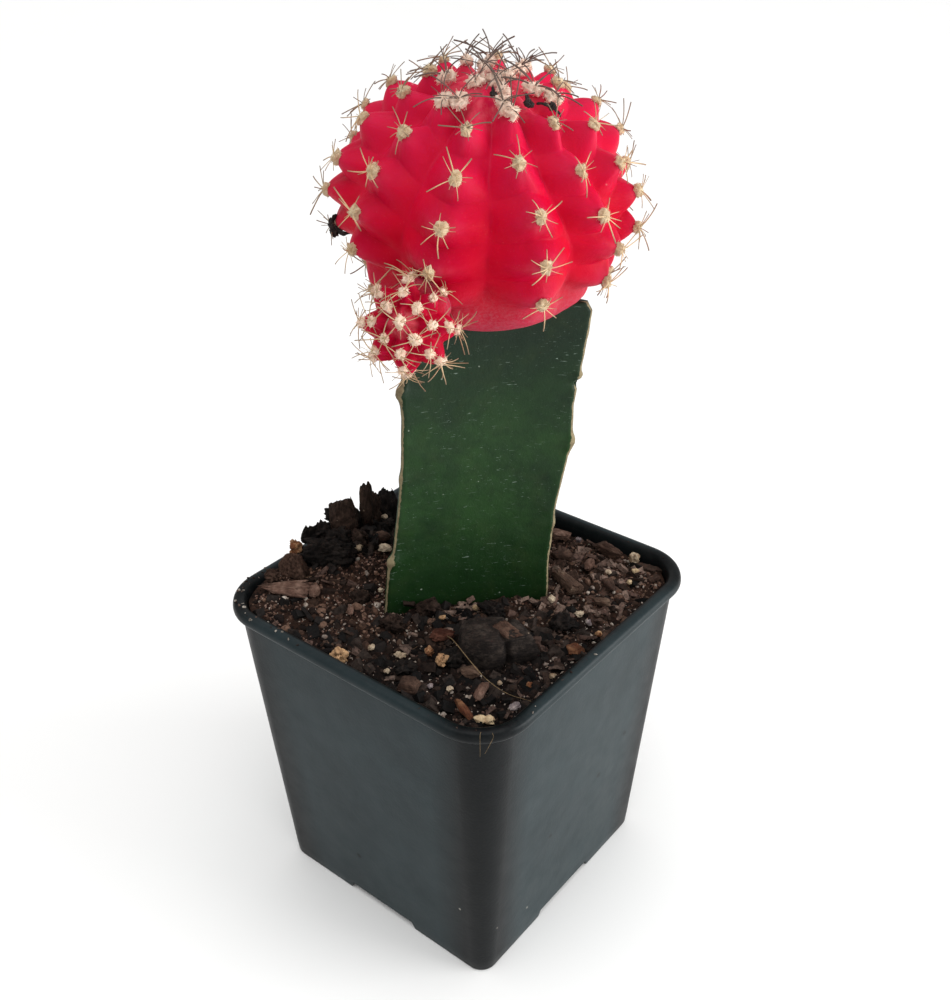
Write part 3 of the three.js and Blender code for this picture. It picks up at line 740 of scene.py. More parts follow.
def spine_finish(name, foot, middle, tip, aged_and_shaded):
    """Horny spines: pale at the foot, darker at the tip, greyer near the top of the plant, and painted
    darker where their areole turns from the front, as shade.
    """
    f = Finish(name, Specular_IOR_Level=0.45)
    along = f.attribute("along")
    body = f.mix(f.fit(along, 0.0, 0.3), paint(foot), paint(middle))
    body = f.tint(body, f.fit(along, 0.5, 0.95), tip)
    # This mask is both: the real greying near the top, and painted shade on the areoles turned away from
    # the front.
    body = f.tint(body, f.attribute("aged_and_shaded"), aged_and_shaded, 0.9)
    streaks = f.effect("mottle", Size=0.5, Low=0.45, High=0.8)
    body = f.tint(body, streaks, "4a382c", 0.25)
    f.coat(body, f.uneven(0.5, 0.45, 0.65))
    f.bump(f.clouds(0.12), 0.02)
    return f.material


# ---- What repeats -----------------------------------------------------------------------------
def geometry_tree(name, inputs):
    """A geometry tree with named inputs; returns it, its inputs, and its output socket."""
    sockets = [("Geometry", "Geometry", None), *inputs, ("Material", "Material", None)]
    tree, given, result = mask_group(name, sockets, [("Geometry", "Geometry")], "GeometryNodeTree")
    return tree, given, result["Geometry"]


def by_id(sockets, identifier):
    return next(s for s in sockets if s.identifier == identifier)


def chance(tree, low, high, seed, salt):
    """A number between low and high for each element, a different one for each salt."""
    made = add(tree, "FunctionNodeRandomValue", data_type="FLOAT")
    plug(tree, by_id(made.inputs, "Min_001"), low)
    plug(tree, by_id(made.inputs, "Max_001"), high)
    plug(tree, made.inputs["Seed"], calc(tree, "ADD", seed, salt))
    return by_id(made.outputs, "Value_001")


def chance_vector(tree, low, high, seed, salt):
    made = add(tree, "FunctionNodeRandomValue", data_type="FLOAT_VECTOR")
    plug(tree, made.inputs["Min"], low)
    plug(tree, made.inputs["Max"], high)
    plug(tree, made.inputs["Seed"], calc(tree, "ADD", seed, salt))
    return by_id(made.outputs, "Value")


def named(tree, name, kind="FLOAT"):
    made = add(tree, "GeometryNodeInputNamedAttribute", {"Name": name}, data_type=kind)
    return made.outputs["Attribute"]


def keep(tree, geometry, name, value, domain="POINT"):
    inputs = {"Geometry": geometry, "Name": name, "Value": value}
    made = add(tree, "GeometryNodeStoreNamedAttribute", inputs, data_type="FLOAT", domain=domain)
    return made.outputs["Geometry"]


def turned(tree, rotation, axis, angle):
    """rotation after a further turn about its own axis."""
    turn = add(tree, "FunctionNodeAxisAngleToRotation", {"Axis": axis, "Angle": angle})
    inputs = {"Rotation": rotation, "Rotate By": turn.outputs["Rotation"]}
    return add(tree, "FunctionNodeRotateRotation", inputs, rotation_space="LOCAL").outputs["Rotation"]


def either_way(tree, reach, seed, salt):
    """A number as far as reach on either side of none."""
    return chance(tree, calc(tree, "MULTIPLY", reach, -1.0), reach, seed, salt)


def laid_flat(tree, seed, salt):
    """The rotation of a thing that lies flat, turned at random about Z."""
    inputs = {"Axis": (0, 0, 1), "Angle": chance(tree, 0.0, tau, seed, salt)}
    return add(tree, "FunctionNodeAxisAngleToRotation", inputs).outputs[0]


def scaled(tree, vector, factor):
    return add(tree, "ShaderNodeVectorMath", {0: vector, "Scale": factor}, operation="SCALE").outputs[0]


def moved(tree, geometry, offset):
    inputs = {"Geometry": geometry, "Offset": offset}
    return add(tree, "GeometryNodeSetPosition", inputs).outputs["Geometry"]


def sown(tree, surface, density, seed):
    """Points strewn over a surface, so many to the square metre."""
    inputs = {"Mesh": surface, "Density": density, "Seed": seed}
    return add(tree, "GeometryNodeDistributePointsOnFaces", inputs).outputs


def standing(tree):
    """The rotation that takes Z to a point's own "out" and X down its rib."""
    kind = "FunctionNodeAlignRotationToVector"
    up = add(tree, kind, {"Vector": named(tree, "out", "FLOAT_VECTOR")}, axis="Z")
    inputs = {"Rotation": up.outputs["Rotation"], "Vector": named(tree, "down", "FLOAT_VECTOR")}
    return add(tree, kind, inputs, axis="X", pivot_axis="Z").outputs["Rotation"]


def thread(tree, thickness, bend, steps, sides):
    """A tapered thread one long, up Z, bending towards X, that knows how far along it is."""
    line = add(tree, "GeometryNodeCurvePrimitiveLine", {"End": (0, 0, 1)}).outputs[0]
    line = add(tree, "GeometryNodeResampleCurve", {"Curve": line, "Count": steps}).outputs[0]
    share = add(tree, "GeometryNodeSplineParameter").outputs["Factor"]
    line = keep(tree, line, "along", share)
    aside = calc(tree, "MULTIPLY", calc(tree, "POWER", share, 1.8), bend)
    line = moved(tree, line, add(tree, "ShaderNodeCombineXYZ", {0: aside}).outputs[0])
    taper = calc(tree, "SUBTRACT", 1.0, calc(tree, "MULTIPLY", calc(tree, "POWER", share, 1.3), 0.82))
    line = add(tree, "GeometryNodeSetCurveRadius", {"Curve": line, "Radius": taper}).outputs[0]
    ring = add(tree, "GeometryNodeCurvePrimitiveCircle", {"Resolution": sides, "Radius": thickness})
    inputs = {"Curve": line, "Profile Curve": ring.outputs["Curve"], "Fill Caps": True}
    return add(tree, "GeometryNodeCurveToMesh", inputs).outputs["Mesh"]


def planted(tree, points, shape, rotation, scale):
    inputs = {"Points": points, "Instance": shape, "Rotation": rotation, "Scale": scale}
    return add(tree, "GeometryNodeInstanceOnPoints", inputs).outputs["Instances"]


def realised(tree, instances):
    return add(tree, "GeometryNodeRealizeInstances", {"Geometry": instances}).outputs["Geometry"]


def finished(tree, geometry, given, result, smooth=True):
    shaded = add(tree, "GeometryNodeSetShadeSmooth", {"Geometry": geometry, "Shade Smooth": smooth})
    inputs = {"Geometry": shaded.outputs["Geometry"], "Material": given["Material"]}
    plug(tree, result, add(tree, "GeometryNodeSetMaterial", inputs).outputs["Geometry"])
    return tree


def spine_tree():
    """Spines that fan out from each areole, more or less upright by Splay, each with a bend."""
    tree, given, result = geometry_tree("Spines", [
        ("Count", "Int", 7),
        ("Length", "Float", 0.004),
        ("Thickness", "Float", 0.045),
        ("Splay", "Float", 1.1),
        ("Spread", "Float", 0.3),
        ("Bend", "Float", 0.2),
        ("Stray", "Float", 0.001),
        ("Seed", "Int", 1),
    ])
    seed = given["Seed"]
    copies = add(
        tree,
        "GeometryNodeDuplicateElements",
        {"Geometry": given["Geometry"], "Amount": given["Count"]},
        domain="POINT",
    )
    place = calc(tree, "ADD", copies.outputs["Duplicate Index"], chance(tree, -0.45, 0.45, seed, 1))
    turn = calc(tree, "MULTIPLY", calc(tree, "DIVIDE", place, given["Count"]), tau)
    turn = calc(tree, "ADD", turn, named(tree, "turn"))
    rotation = turned(tree, standing(tree), (0, 0, 1), turn)
    spread = either_way(tree, given["Spread"], seed, 2)
    rotation = turned(tree, rotation, (0, 1, 0), calc(tree, "ADD", given["Splay"], spread))
    rotation = turned(tree, rotation, (0, 0, 1), chance(tree, -1.2, 1.2, seed, 3))
    length = calc(tree, "MULTIPLY", given["Length"], chance(tree, 0.42, 1.0, seed, 4))
    length = calc(tree, "MULTIPLY", length, named(tree, "size"))
    shape = thread(tree, given["Thickness"], given["Bend"], 8, 4)
    spines = realised(tree, planted(tree, copies.outputs["Geometry"], shape, rotation, length))
    position = add(tree, "GeometryNodeInputPosition").outputs[0]
    drift = clouds(tree, position, 1 / (6.5 * MM), 1.0, colour=True)
    reach = calc(tree, "MULTIPLY", calc(tree, "POWER", named(tree, "along"), 1.6), given["Stray"])
    reach = calc(tree, "MULTIPLY", reach, 2.0)
    stray = scaled(tree, vector_calc(tree, "SUBTRACT", drift, (0.5, 0.5, 0.5)), reach)
    return finished(tree, moved(tree, spines, stray), given, result)


def wool_tree():
    """A lumpy cushion of wool at each areole, with loose hairs standing out of it."""
    tree, given, result = geometry_tree("Wool", [
        ("Width", "Float", 0.0011),
        ("Length", "Float", 0.0014),
        ("Height", "Float", 0.0008),
        ("Lumps", "Float", 0.0004),
        ("Hairs", "Float", 6e6),
        ("Hair", "Float", 0.0008),
        ("Seed", "Int", 1),
    ])
    ball = add(tree, "GeometryNodeMeshIcoSphere", {"Radius": 1.0, "Subdivisions": 3}).outputs["Mesh"]
    sides = add(tree, "ShaderNodeCombineXYZ", {0: given["Length"], 1: given["Width"], 2: given["Height"]})
    size = scaled(tree, sides.outputs[0], named(tree, "size"))
    cushions = realised(tree, planted(tree, given["Geometry"], ball, standing(tree), size))
    position = add(tree, "GeometryNodeInputPosition").outputs[0]
    lumps = clouds(tree, position, 1 / (0.62 * MM), 4.0, 0.65)
    normal = add(tree, "GeometryNodeInputNormal").outputs[0]
    tallest = calc(tree, "MULTIPLY", given["Lumps"], 4.0)
    reach = calc(tree, "MULTIPLY", calc(tree, "SUBTRACT", lumps, 0.45), tallest)
    cushions = moved(tree, cushions, scaled(tree, normal, reach))
    spots = sown(tree, cushions, given["Hairs"], given["Seed"])
    rotation = turned(tree, spots["Rotation"], (0, 0, 1), chance(tree, 0.0, tau, given["Seed"], 5))
    rotation = turned(tree, rotation, (0, 1, 0), chance(tree, 0.1, 1.1, given["Seed"], 6))
    length = calc(tree, "MULTIPLY", given["Hair"], chance(tree, 0.5, 1.2, given["Seed"], 7))
    hair = thread(tree, 0.07, 0.45, 4, 3)
    hairs = realised(tree, planted(tree, spots["Points"], hair, rotation, length))
    both = add(tree, "GeometryNodeJoinGeometry").inputs[0]
    tree.links.new(cushions, both)
    tree.links.new(hairs, both)
    return finished(tree, both.node.outputs[0], given, result)


def broken_box(tree, given):
    inputs = {"Size": (2, 2, 2), "Vertices X": 4, "Vertices Y": 3, "Vertices Z": 2}
    return add(tree, "GeometryNodeMeshCube", inputs)


def broken_grain(tree, given):
    return add(tree, "GeometryNodeMeshIcoSphere", {"Radius": 1.0, "Subdivisions": given["Facets"]})


def scatter_tree(name, shape):
    """Loose pieces strewn over a surface where its "loose" mask lets them lie."""
    tree, given, result = geometry_tree(name, [
        ("Density", "Float", 1e6),
        ("Smallest", "Vector", (0.001, 0.001, 0.001)),
        ("Largest", "Vector", (0.002, 0.002, 0.002)),
        ("Break", "Float", 0.4),
        ("Tilt", "Float", 1.2),
        ("Facets", "Int", 1),
        ("Seed", "Int", 1),
    ])
    seed = given["Seed"]
    density = calc(tree, "MULTIPLY", given["Density"], named(tree, "loose"))
    spots = sown(tree, given["Geometry"], density, seed)
    size = chance_vector(tree, given["Smallest"], given["Largest"], seed, 1)
    flat = laid_flat(tree, seed, 2)
    rotation = turned(tree, flat, (1, 0, 0), either_way(tree, given["Tilt"], seed, 3))
    rotation = turned(tree, rotation, (0, 1, 0), either_way(tree, given["Tilt"], seed, 4))
    pieces = planted(tree, spots["Points"], shape(tree, given).outputs["Mesh"], rotation, size)
    pieces = keep(tree, pieces, "shade", chance(tree, 0.0, 1.0, seed, 5), "INSTANCE")
    bulk = add(tree, "ShaderNodeVectorMath", {0: size}, operation="LENGTH").outputs["Value"]
    pieces = keep(tree, pieces, "bulk", bulk, "INSTANCE")
    pieces = realised(tree, pieces)
    position = add(tree, "GeometryNodeInputPosition").outputs[0]
    rough = clouds(tree, position, 1 / (1.1 * MM), 2.0, colour=True)
    reach = calc(tree, "MULTIPLY", named(tree, "bulk"), given["Break"])
    shove = scaled(tree, vector_calc(tree, "SUBTRACT", rough, (0.5, 0.5, 0.5)), reach)
    return finished(tree, moved(tree, pieces, shove), given, result, smooth=False)


def fibre_tree():
    """Fine fibres lying about on a surface, each with its own bend."""
    tree, given, result = geometry_tree("Fibres", [
        ("Density", "Float", 1e5),
        ("Length", "Float", 0.004),
        ("Thickness", "Float", 0.03),
        ("Lift", "Float", 0.25),
        ("Seed", "Int", 1),
    ])
    seed = given["Seed"]
    density = calc(tree, "MULTIPLY", given["Density"], named(tree, "loose"))
    spots = sown(tree, given["Geometry"], density, seed)
    lean = chance(tree, calc(tree, "SUBTRACT", pi / 2, given["Lift"]), pi / 2, seed, 2)
    rotation = turned(tree, laid_flat(tree, seed, 1), (0, 1, 0), lean)
    rotation = turned(tree, rotation, (0, 0, 1), chance(tree, 0.0, tau, seed, 3))
    length = calc(tree, "MULTIPLY", given["Length"], chance(tree, 0.35, 1.0, seed, 4))
    strand = thread(tree, given["Thickness"], 0.45, 8, 4)
    strands = planted(tree, spots["Points"], strand, rotation, length)
    strands = keep(tree, strands, "shade", chance(tree, 0.0, 1.0, seed, 5), "INSTANCE")
    return finished(tree, realised(tree, strands), given, result)


TREES = {
    "spines": spine_tree(),
    "wool": wool_tree(),
    "grains": scatter_tree("Grains", broken_grain),
    "chips": scatter_tree("Chips", broken_box),
    "fibres": fibre_tree(),
}


def grown(name, tree, source, material, **values):
    """A plain mesh piece that a tree grows from a source mesh, which goes away."""
    obj = bpy.data.objects.new(name, source)
    bpy.context.scene.collection.objects.link(obj)
    modifier = obj.modifiers.new(name, "NODES")
    modifier.node_group = TREES[tree]
    wanted = {**values, "Material": material}
    for item in TREES[tree].interface.items_tree:
        if item.in_out == "INPUT" and item.name in wanted:
            modifier[item.identifier] = wanted.pop(item.name)
    if wanted:
        raise ValueError(f"{tree} has no input named {sorted(wanted)}")
    bpy.context.view_layer.update()
    depsgraph = bpy.context.evaluated_depsgraph_get()
    mesh = bpy.data.meshes.new_from_object(
        obj.evaluated_get(depsgraph), preserve_all_data_layers=True, depsgraph=depsgraph
    )
    obj.modifiers.clear()
    obj.data = mesh
    mesh.name = name
    return obj


# ---- Pot --------------------------------------------------------------------------------------
def wall_half(z):
    rise = z / (POT["height"] - POT["lip_height"])
    return POT["base_half"] + (POT["neck_half"] - POT["base_half"]) * rise


def wall_corner(z):
    rise = z / (POT["height"] - POT["lip_height"])
    return POT["base_corner"] + (POT["neck_corner"] - POT["base_corner"]) * rise


def pot_shell():
    rings = [
        square_ring(POT["base_half"] - inset, POT["base_corner"] - less, z) for inset, less, z in FOOT
    ]
    for z in np.linspace(3.0, POT["height"] - POT["lip_height"] - 0.8, POT["wall_rings"]):
        rings.append(square_ring(wall_half(z), wall_corner(z), z))
    for out, growth, under in smooth_path(LIP, LIP_STEPS):
        half, corner = POT["neck_half"] + out, POT["neck_corner"] + growth
        rings.append(square_ring(half, corner, POT["height"] + under))
    for z in np.linspace(POT["height"] - 3.4, POT["floor"] + 0.6, POT["inner_rings"]):
        rings.append(square_ring(wall_half(z) - POT["wall"], wall_corner(z) - POT["wall"] / 2, z))
    inner = wall_half(POT["floor"]) - POT["wall"]
    rings.append(square_ring(inner - 0.6, wall_corner(POT["floor"]) - POT["wall"], POT["floor"]))
    return loft(rings)


def to_side(points, side):
    """Points at the pot's first side, turned to another of its four."""
    turn = np.array(Matrix.Rotation(side * pi / 2, 3, "Z"))
    return np.array(points) @ turn.T


def drain_block(length, bottom, top, inner, outer, side):
    """A block along the bottom edge of one side, with sloped ends."""
    half, slope = length / 2, DRAIN["slope"]
    section = [(-half, bottom), (half, bottom), (half - slope, top), (-half + slope, top)]
    points = [(x, -y, z) for y in (inner, outer) for x, z in section]
    faces = [(0, 1, 2, 3), (7, 6, 5, 4)]
    faces += [(i, i + 4, (i + 1) % 4 + 4, (i + 1) % 4) for i in range(4)]
    return to_side(points, side), faces


def drain_hole(side):
    sides, radius = DRAIN["hole_sides"], DRAIN["hole"]
    angles = np.arange(sides) * tau / sides
    middle = -(POT["base_half"] - DRAIN["hole_inset"])
    around = [radius * np.cos(angles), middle + radius * np.sin(angles)]
    points, faces = loft([np.stack([*around, np.full(sides, z)], 1) for z in (-1, 6)])
    return to_side(points, side), faces


def cut(obj, cutters, operation, material):
    """obj joined with or cut by loose solids, as a plain mesh again."""
    tool = piece_from("tool", *joined(cutters), material)
    facing_out(tool.data)
    modifier = obj.modifiers.new("cut", "BOOLEAN")
    modifier.operation, modifier.solver, modifier.object = operation, "EXACT", tool
    bpy.context.view_layer.update()
    depsgraph = bpy.context.evaluated_depsgraph_get()
    mesh = bpy.data.meshes.new_from_object(obj.evaluated_get(depsgraph), depsgraph=depsgraph)
    obj.modifiers.clear()
    obj.data = mesh
    bpy.data.objects.remove(tool)


def facing_out(mesh):
    work = bmesh.new()
    work.from_mesh(mesh)
    bmesh.ops.recalc_face_normals(work, faces=work.faces)
    work.to_mesh(mesh)
    work.free()


def make_pot():
    material = pot_plastic()
    pot = piece_from("nursery_pot", *pot_shell(), material)
    facing_out(pot.data)
    inner = POT["base_half"] - DRAIN["reach"]
    cover, length = DRAIN["cover"], DRAIN["length"]
    steps = [
        drain_block(
            length + 2 * cover, DRAIN["sill"], DRAIN["height"] + cover, inner - cover,
            POT["base_half"] - DRAIN["margin"], side,
        )
        for side in range(4)
    ]
    recesses = [
        drain_block(
            length + DRAIN["slope"], -DRAIN["height"], DRAIN["height"], inner, POT["base_half"] + 2, side
        )
        for side in range(4)
    ]
    cut(pot, steps, "UNION", material)
    cut(pot, recesses, "DIFFERENCE", material)
    cut(pot, [drain_hole(side) for side in range(4)], "DIFFERENCE", material)
    pot.data.shade_smooth()
    pot.data.set_sharp_from_angle(angle=radians(POT["crease"]))
    return own(pot, "pot_plastic", "pot")


# ---- Potting mix ------------------------------------------------------------------------------
def soil_level(x, y):
    """The mix's height as it was heaped, before its own lumps."""
    height = SOIL["level"] + 0.35 * np.sin(x * 0.55 + 1) * np.cos(y * 0.48)
    height = height + 0.2 * np.sin(x * 0.9 - y * 0.7)
    for middle_x, middle_y, rise, spread in SOIL["mounds"]:
        height = height + rise * np.exp(-((x - middle_x) ** 2 + (y - middle_y) ** 2) / spread**2)
    return height


def soil_lumps(points):
    """Lumps and crumbs on the surface, at three sizes."""
    coarse = bumps(points, 6.5, 1, 2)
    crumbs = bumps(points, 2.1, 2, 3)
    fine = bumps(points, 0.8, 3, 2)
    return 0.55 * coarse + 0.5 * crumbs + 0.22 * fine


def soil_rings():
    bottom = POT["floor"] + SOIL["gap"]
    columns = SOIL["columns"] // 4
    corner_steps = columns // 2
    side_steps = columns - corner_steps

    def ring(z, share=1.0):
        half = wall_half(z) - POT["wall"] - SOIL["gap"] / 2
        corner = wall_corner(z) - POT["wall"] / 2
        return square_ring(half * share, corner * share, z, corner_steps, side_steps)

    shoulder = SOIL["level"] - SOIL["shoulder"]
    rings = [ring(z) for z in np.linspace(bottom, shoulder, SOIL["wall_rings"])]
    for i in range(SOIL["rings"]):
        spread = ring(SOIL["level"], 1 - i / SOIL["rings"])
        spread[:, 2] = soil_level(spread[:, 0], spread[:, 1])
        rings.append(spread)
    return np.array(rings)


def soil_surface():
    """The rings of the mix, with the lumps of its top, which are lower beside the wall."""
    rings = soil_rings()
    walls = SOIL["wall_rings"]
    top = rings[walls:].reshape(-1, 3)
    edge = np.clip(np.repeat(np.arange(SOIL["rings"]) / SOIL["edge_rings"], rings.shape[1]), 0.25, 1)
    top[:, 2] += soil_lumps(top) * edge - 0.35
    rings[walls:] = top.reshape(-1, rings.shape[1], 3)
    return rings


def stem_outline_at(z):
    """The stem's outline at one height, anticlockwise from its left rib, with its rib mask."""
    heights, lefts, rights = zip(*STEM_RIBS)
    left, right = np.interp(z, heights, lefts), np.interp(z, heights, rights)
    half = STEM["rib_end"] / 2
    depth = STEM["depth"] * (right - left) / STEM["width"]
    back = (left + right) / 2
    corners = [
        ((left, half), (left + half, 0)),
        ((right - half, 0), (right, half)),
        ((back + half, depth), (back - half, depth)),
    ]
    outline, cork = [], []
    for i, (enter, leave) in enumerate(corners):
        enter, leave = np.array(enter), np.array(leave)
        following = np.array(corners[(i + 1) % 3][0])
        away = np.array([following[1] - leave[1], leave[0] - following[0]])
        away = away / np.linalg.norm(following - leave)
        across = unit([(leave - enter)[1], -(leave - enter)[0]])
        for step in range(STEM["rib_steps"]):
            share = step / STEM["rib_steps"]
            bulge = 4 * share * (1 - share) * half * 0.35
            outline.append(enter + (leave - enter) * share + across * bulge)
            cork.append(exp(-((share - 0.45) / 0.24) ** 2))
        for step in range(STEM["face_steps"]):
            share = 0.5 - 0.5 * cos(pi * (step / STEM["face_steps"]))
            dip = STEM["hollow"][i] * 4 * share * (1 - share)
            outline.append(leave + (following - leave) * share - away * dip)
            cork.append(0.0)
    return np.array(outline), np.array(cork)


def stem_turn():
    """The turn on the ground plan that lays X along the stem's front face."""
    turn = radians(STEM["along"])
    return np.array([[cos(turn), -sin(turn)], [sin(turn), cos(turn)]])


def clear_of_stem(x, y, margin):
    """1 where a point is clear of the stem by a margin, 0 inside it."""
    outline = stem_outline_at(SOIL["level"])[0] @ stem_turn().T + np.array(STEM["middle"])
    after = np.roll(outline, -1, axis=0)
    edge = after - outline
    away = np.stack([edge[:, 1], -edge[:, 0]], 1) / np.linalg.norm(edge, axis=1)[:, None]
    here = np.stack([x, y], 1)
    hull = ((here[:, None] - outline[None]) * away[None]).sum(2).max(1)
    return ease(0.0, margin, hull)


def make_soil(rings):
    # The bed is dark peat, kept near black as painted shade for the gaps between the crumbs strewn over it.
    material = mix_soil("potting_mix", "1a120e", "463127")
    soil = piece_from("potting_mix_bed", *loft(rings), material)
    return own(soil, "potting_mix", "potting_mix")


def soil_patch(rings, loose):
    """A copy of the mix's surface, a little in from the wall, to strew pieces over."""
    top = rings[SOIL["wall_rings"] + 2:]
    levels, count = top.shape[:2]
    points = top.reshape(-1, 3)
    clear = clear_of_stem(points[:, 0], points[:, 1], 0.8)
    return patch(points, strips(levels, count), loose(points) * clear)


def grit_share(points):
    """Grit shows most at the front and right, away from the heap of peat and bark."""
    x, y = points[:, 0], points[:, 1]
    front = ease(-20, 16, x - y)
    right = ease(6, 24, x)
    patchy = np.clip(0.55 + 0.9 * bumps(points, 5.0, 11, 2), 0.1, 1.6)
    return (0.05 + 0.95 * np.maximum(front, 0.8 * right)) * patchy


def bark_share(points):
    """Bits of bark gather at the right and along the back."""
    x, y = points[:, 0], points[:, 1]
    return 0.12 + 0.88 * ease(-12, 14, y + 0.4 * x) + 0.2 * bumps(points, 6.0, 12, 2)


def lump_share(points):
    """Coarse lumps lie in the damp mix at the front."""
    return 0.05 + 0.95 * ease(-8, 14, points[:, 0] - points[:, 1])


def fine_share(points):
    """Fine reddish peat covers the left and the back."""
    return 0.15 + 0.85 * ease(18, -14, points[:, 0] - points[:, 1])


def everywhere(points):
    return 0.75 + 0.25 * bumps(points, 5.0, 13, 2)


def heap_share(points):
    """Black crumbs bury the foot of the bark that stands at the left."""
    x, y = points[:, 0], points[:, 1]
    along = np.clip((y + 9) / 20, 0, 1)
    away = np.hypot(x + 24.5 - 0.5 * along, y + 9 - 20 * along)
    return ease(5.5, 2.0, away)


# What the mix is made of: its tree, where it lies, its finish, how many to the square
# millimetre, its smallest and largest half sizes, how far it is broken, its tilt and facets.
STREWN = {
    "peat_crumbs": ("grains", everywhere, "peat", 1.15,
        (0.2, 0.18, 0.16), (0.66, 0.56, 0.5), 0.7, 1.2, 1, 3),
    "peat_lumps": ("grains", lump_share, "peat", 0.07,
        (0.6, 0.5, 0.4), (1.4, 1.1, 0.9), 0.55, 1.2, 2, 7),
    "fine_peat": ("grains", fine_share, "red_peat", 2.4,
        (0.12, 0.11, 0.1), (0.36, 0.3, 0.26), 0.6, 1.2, 1, 21),
    "heap_crumbs": ("grains", heap_share, "char", 2.2,
        (0.25, 0.22, 0.2), (0.9, 0.75, 0.7), 0.9, 1.2, 1, 31),
    "heap_shards": ("chips", heap_share, "char", 0.9,
        (0.3, 0.25, 0.7), (1.0, 0.6, 2.3), 0.6, 0.8, 1, 32),
    "bark_bits": ("chips", bark_share, "bark", 0.24,
        (0.5, 0.25, 0.1), (2.3, 0.95, 0.45), 0.35, 0.8, 1, 5),
    "char_bits": ("chips", lump_share, "char", 0.12,
        (0.5, 0.4, 0.3), (1.7, 1.1, 0.8), 0.4, 1.0, 1, 8),
    "grit_grains": ("grains", grit_share, "grit", 0.45,
        (0.13, 0.12, 0.12), (0.5, 0.4, 0.36), 0.8, 1.2, 1, 9),
    "grit_dust": ("grains", grit_share, "grit", 0.8,
        (0.06, 0.06, 0.06), (0.19, 0.15, 0.14), 0.6, 1.2, 1, 10),
    "grit_stones": ("grains", grit_share, "grit", 0.03,
        (0.4, 0.36, 0.3), (0.85, 0.65, 0.6), 0.8, 1.2, 2, 12),
}
SLOTS = {
    "peat": "potting_mix",
    "red_peat": "potting_mix",
    "bark": "bark",
    "char": "dark_bark",
    "grit": "grit",
}


def strew_mix(rings):
    finishes = {
        "peat": crumb_finish("peat_crumbs", ["1a120f", "38281f", "5a4337", "7f6353"], damp=0.85),
        "red_peat": crumb_finish("red_peat", ["38251e", "5f443a", "836457", "9a7e71"], damp=0.5),
        "bark": crumb_finish("bark_bits", ["2f231d", "4a382f", "69534a", "8a7468"], rough=0.85, damp=0.4),
        "char": crumb_finish("char_bits", ["0b0b0b", "151413", "221e1c", "382f2a"], rough=0.85),
        "grit": grit_finish("grit_grains", ["5a504b", "81766f", "a09488", "bdb2a6"]),
    }
    for name, (tree, where, finish, density, least, most, broken, tilt, facets, seed) in STREWN.items():
        own(grown(
            name, tree, soil_patch(rings, where), finishes[finish],
            Density=density * PER_MM2, Smallest=[v * MM for v in least], Largest=[v * MM for v in most],
            Break=broken, Tilt=tilt, Facets=facets, Seed=seed,
        ), SLOTS[finish])
    fibre = crumb_finish("peat_fibres", ["5a4334", "7a604b", "a08567", "3a2a20"])
    own(grown(
        "peat_fibres", "fibres", soil_patch(rings, everywhere), fibre,
        Density=0.03 * PER_MM2, Length=4.2 * MM, Thickness=0.016, Seed=15,
    ), "potting_mix")


# ---- Ribbed bodies ----------------------------------------------------------------------------
def body_axes(body):
    axis = unit(body["axis"])
    front = np.array(body["front"], float)
    front = unit(front - axis * (front @ axis))
    return axis, front, np.cross(axis, front)


def body_point(body, azimuth, latitude, depth):
    """Where the skin lies, as deep as depth under the ellipsoid through the areoles."""
    axis, front, side = body_axes(body)
    azimuth, latitude = np.radians(azimuth), np.radians(latitude)
    across = (body["equator"] - depth) * np.cos(latitude)
    up = (body["pole"] - depth) * np.sin(latitude)
    parts = (across * np.cos(azimuth), across * np.sin(azimuth), up)
    return np.array(body["centre"]) + sum(
        part[..., None] * direction for part, direction in zip(parts, (front, side, axis))
    )


def last_row(body):
    return 2 * body["notches"] - 1


def rib_latitudes(body, rib):
    """A rib's latitude at each whole row: odd rows are notches, even ones areoles."""
    _, first, step, _ = rib
    last = last_row(body)
    rows = [90.0] + [first - step * (row / 2 - 1) for row in range(1, last + 1)]
    lowest = rows[-1]
    return rows + [lowest - (90 + lowest) * row / FOOT_ROWS for row in range(1, FOOT_ROWS + 1)]


def rib_azimuths(body, rib):
    """A rib's azimuth at each whole row, as it sways from areole to areole."""
    azimuth, _, _, sway = rib
    places = np.arange(last_row(body) + FOOT_ROWS + 1) / 2 - 1
    return azimuth + np.interp(places, range(len(sway)), sway)


def rounded(offset, radius):
    """0 to 1 as offset goes from 0 to 1: straight, but rounded near 0."""
    return (np.sqrt(offset**2 + radius**2) - radius) / (sqrt(1 + radius**2) - radius)


def relief(body, latitude, away):
    """How much of its relief a body has at a latitude and in a direction from its middle."""
    foot = unit(body["foot"])
    angle = np.degrees(np.arccos(np.clip((away @ foot) / np.linalg.norm(away, axis=-1), -1, 1)))
    return ease(*body["smooth"], angle) * ease(-90, -75, latitude) * ease(-90, -60, -latitude)


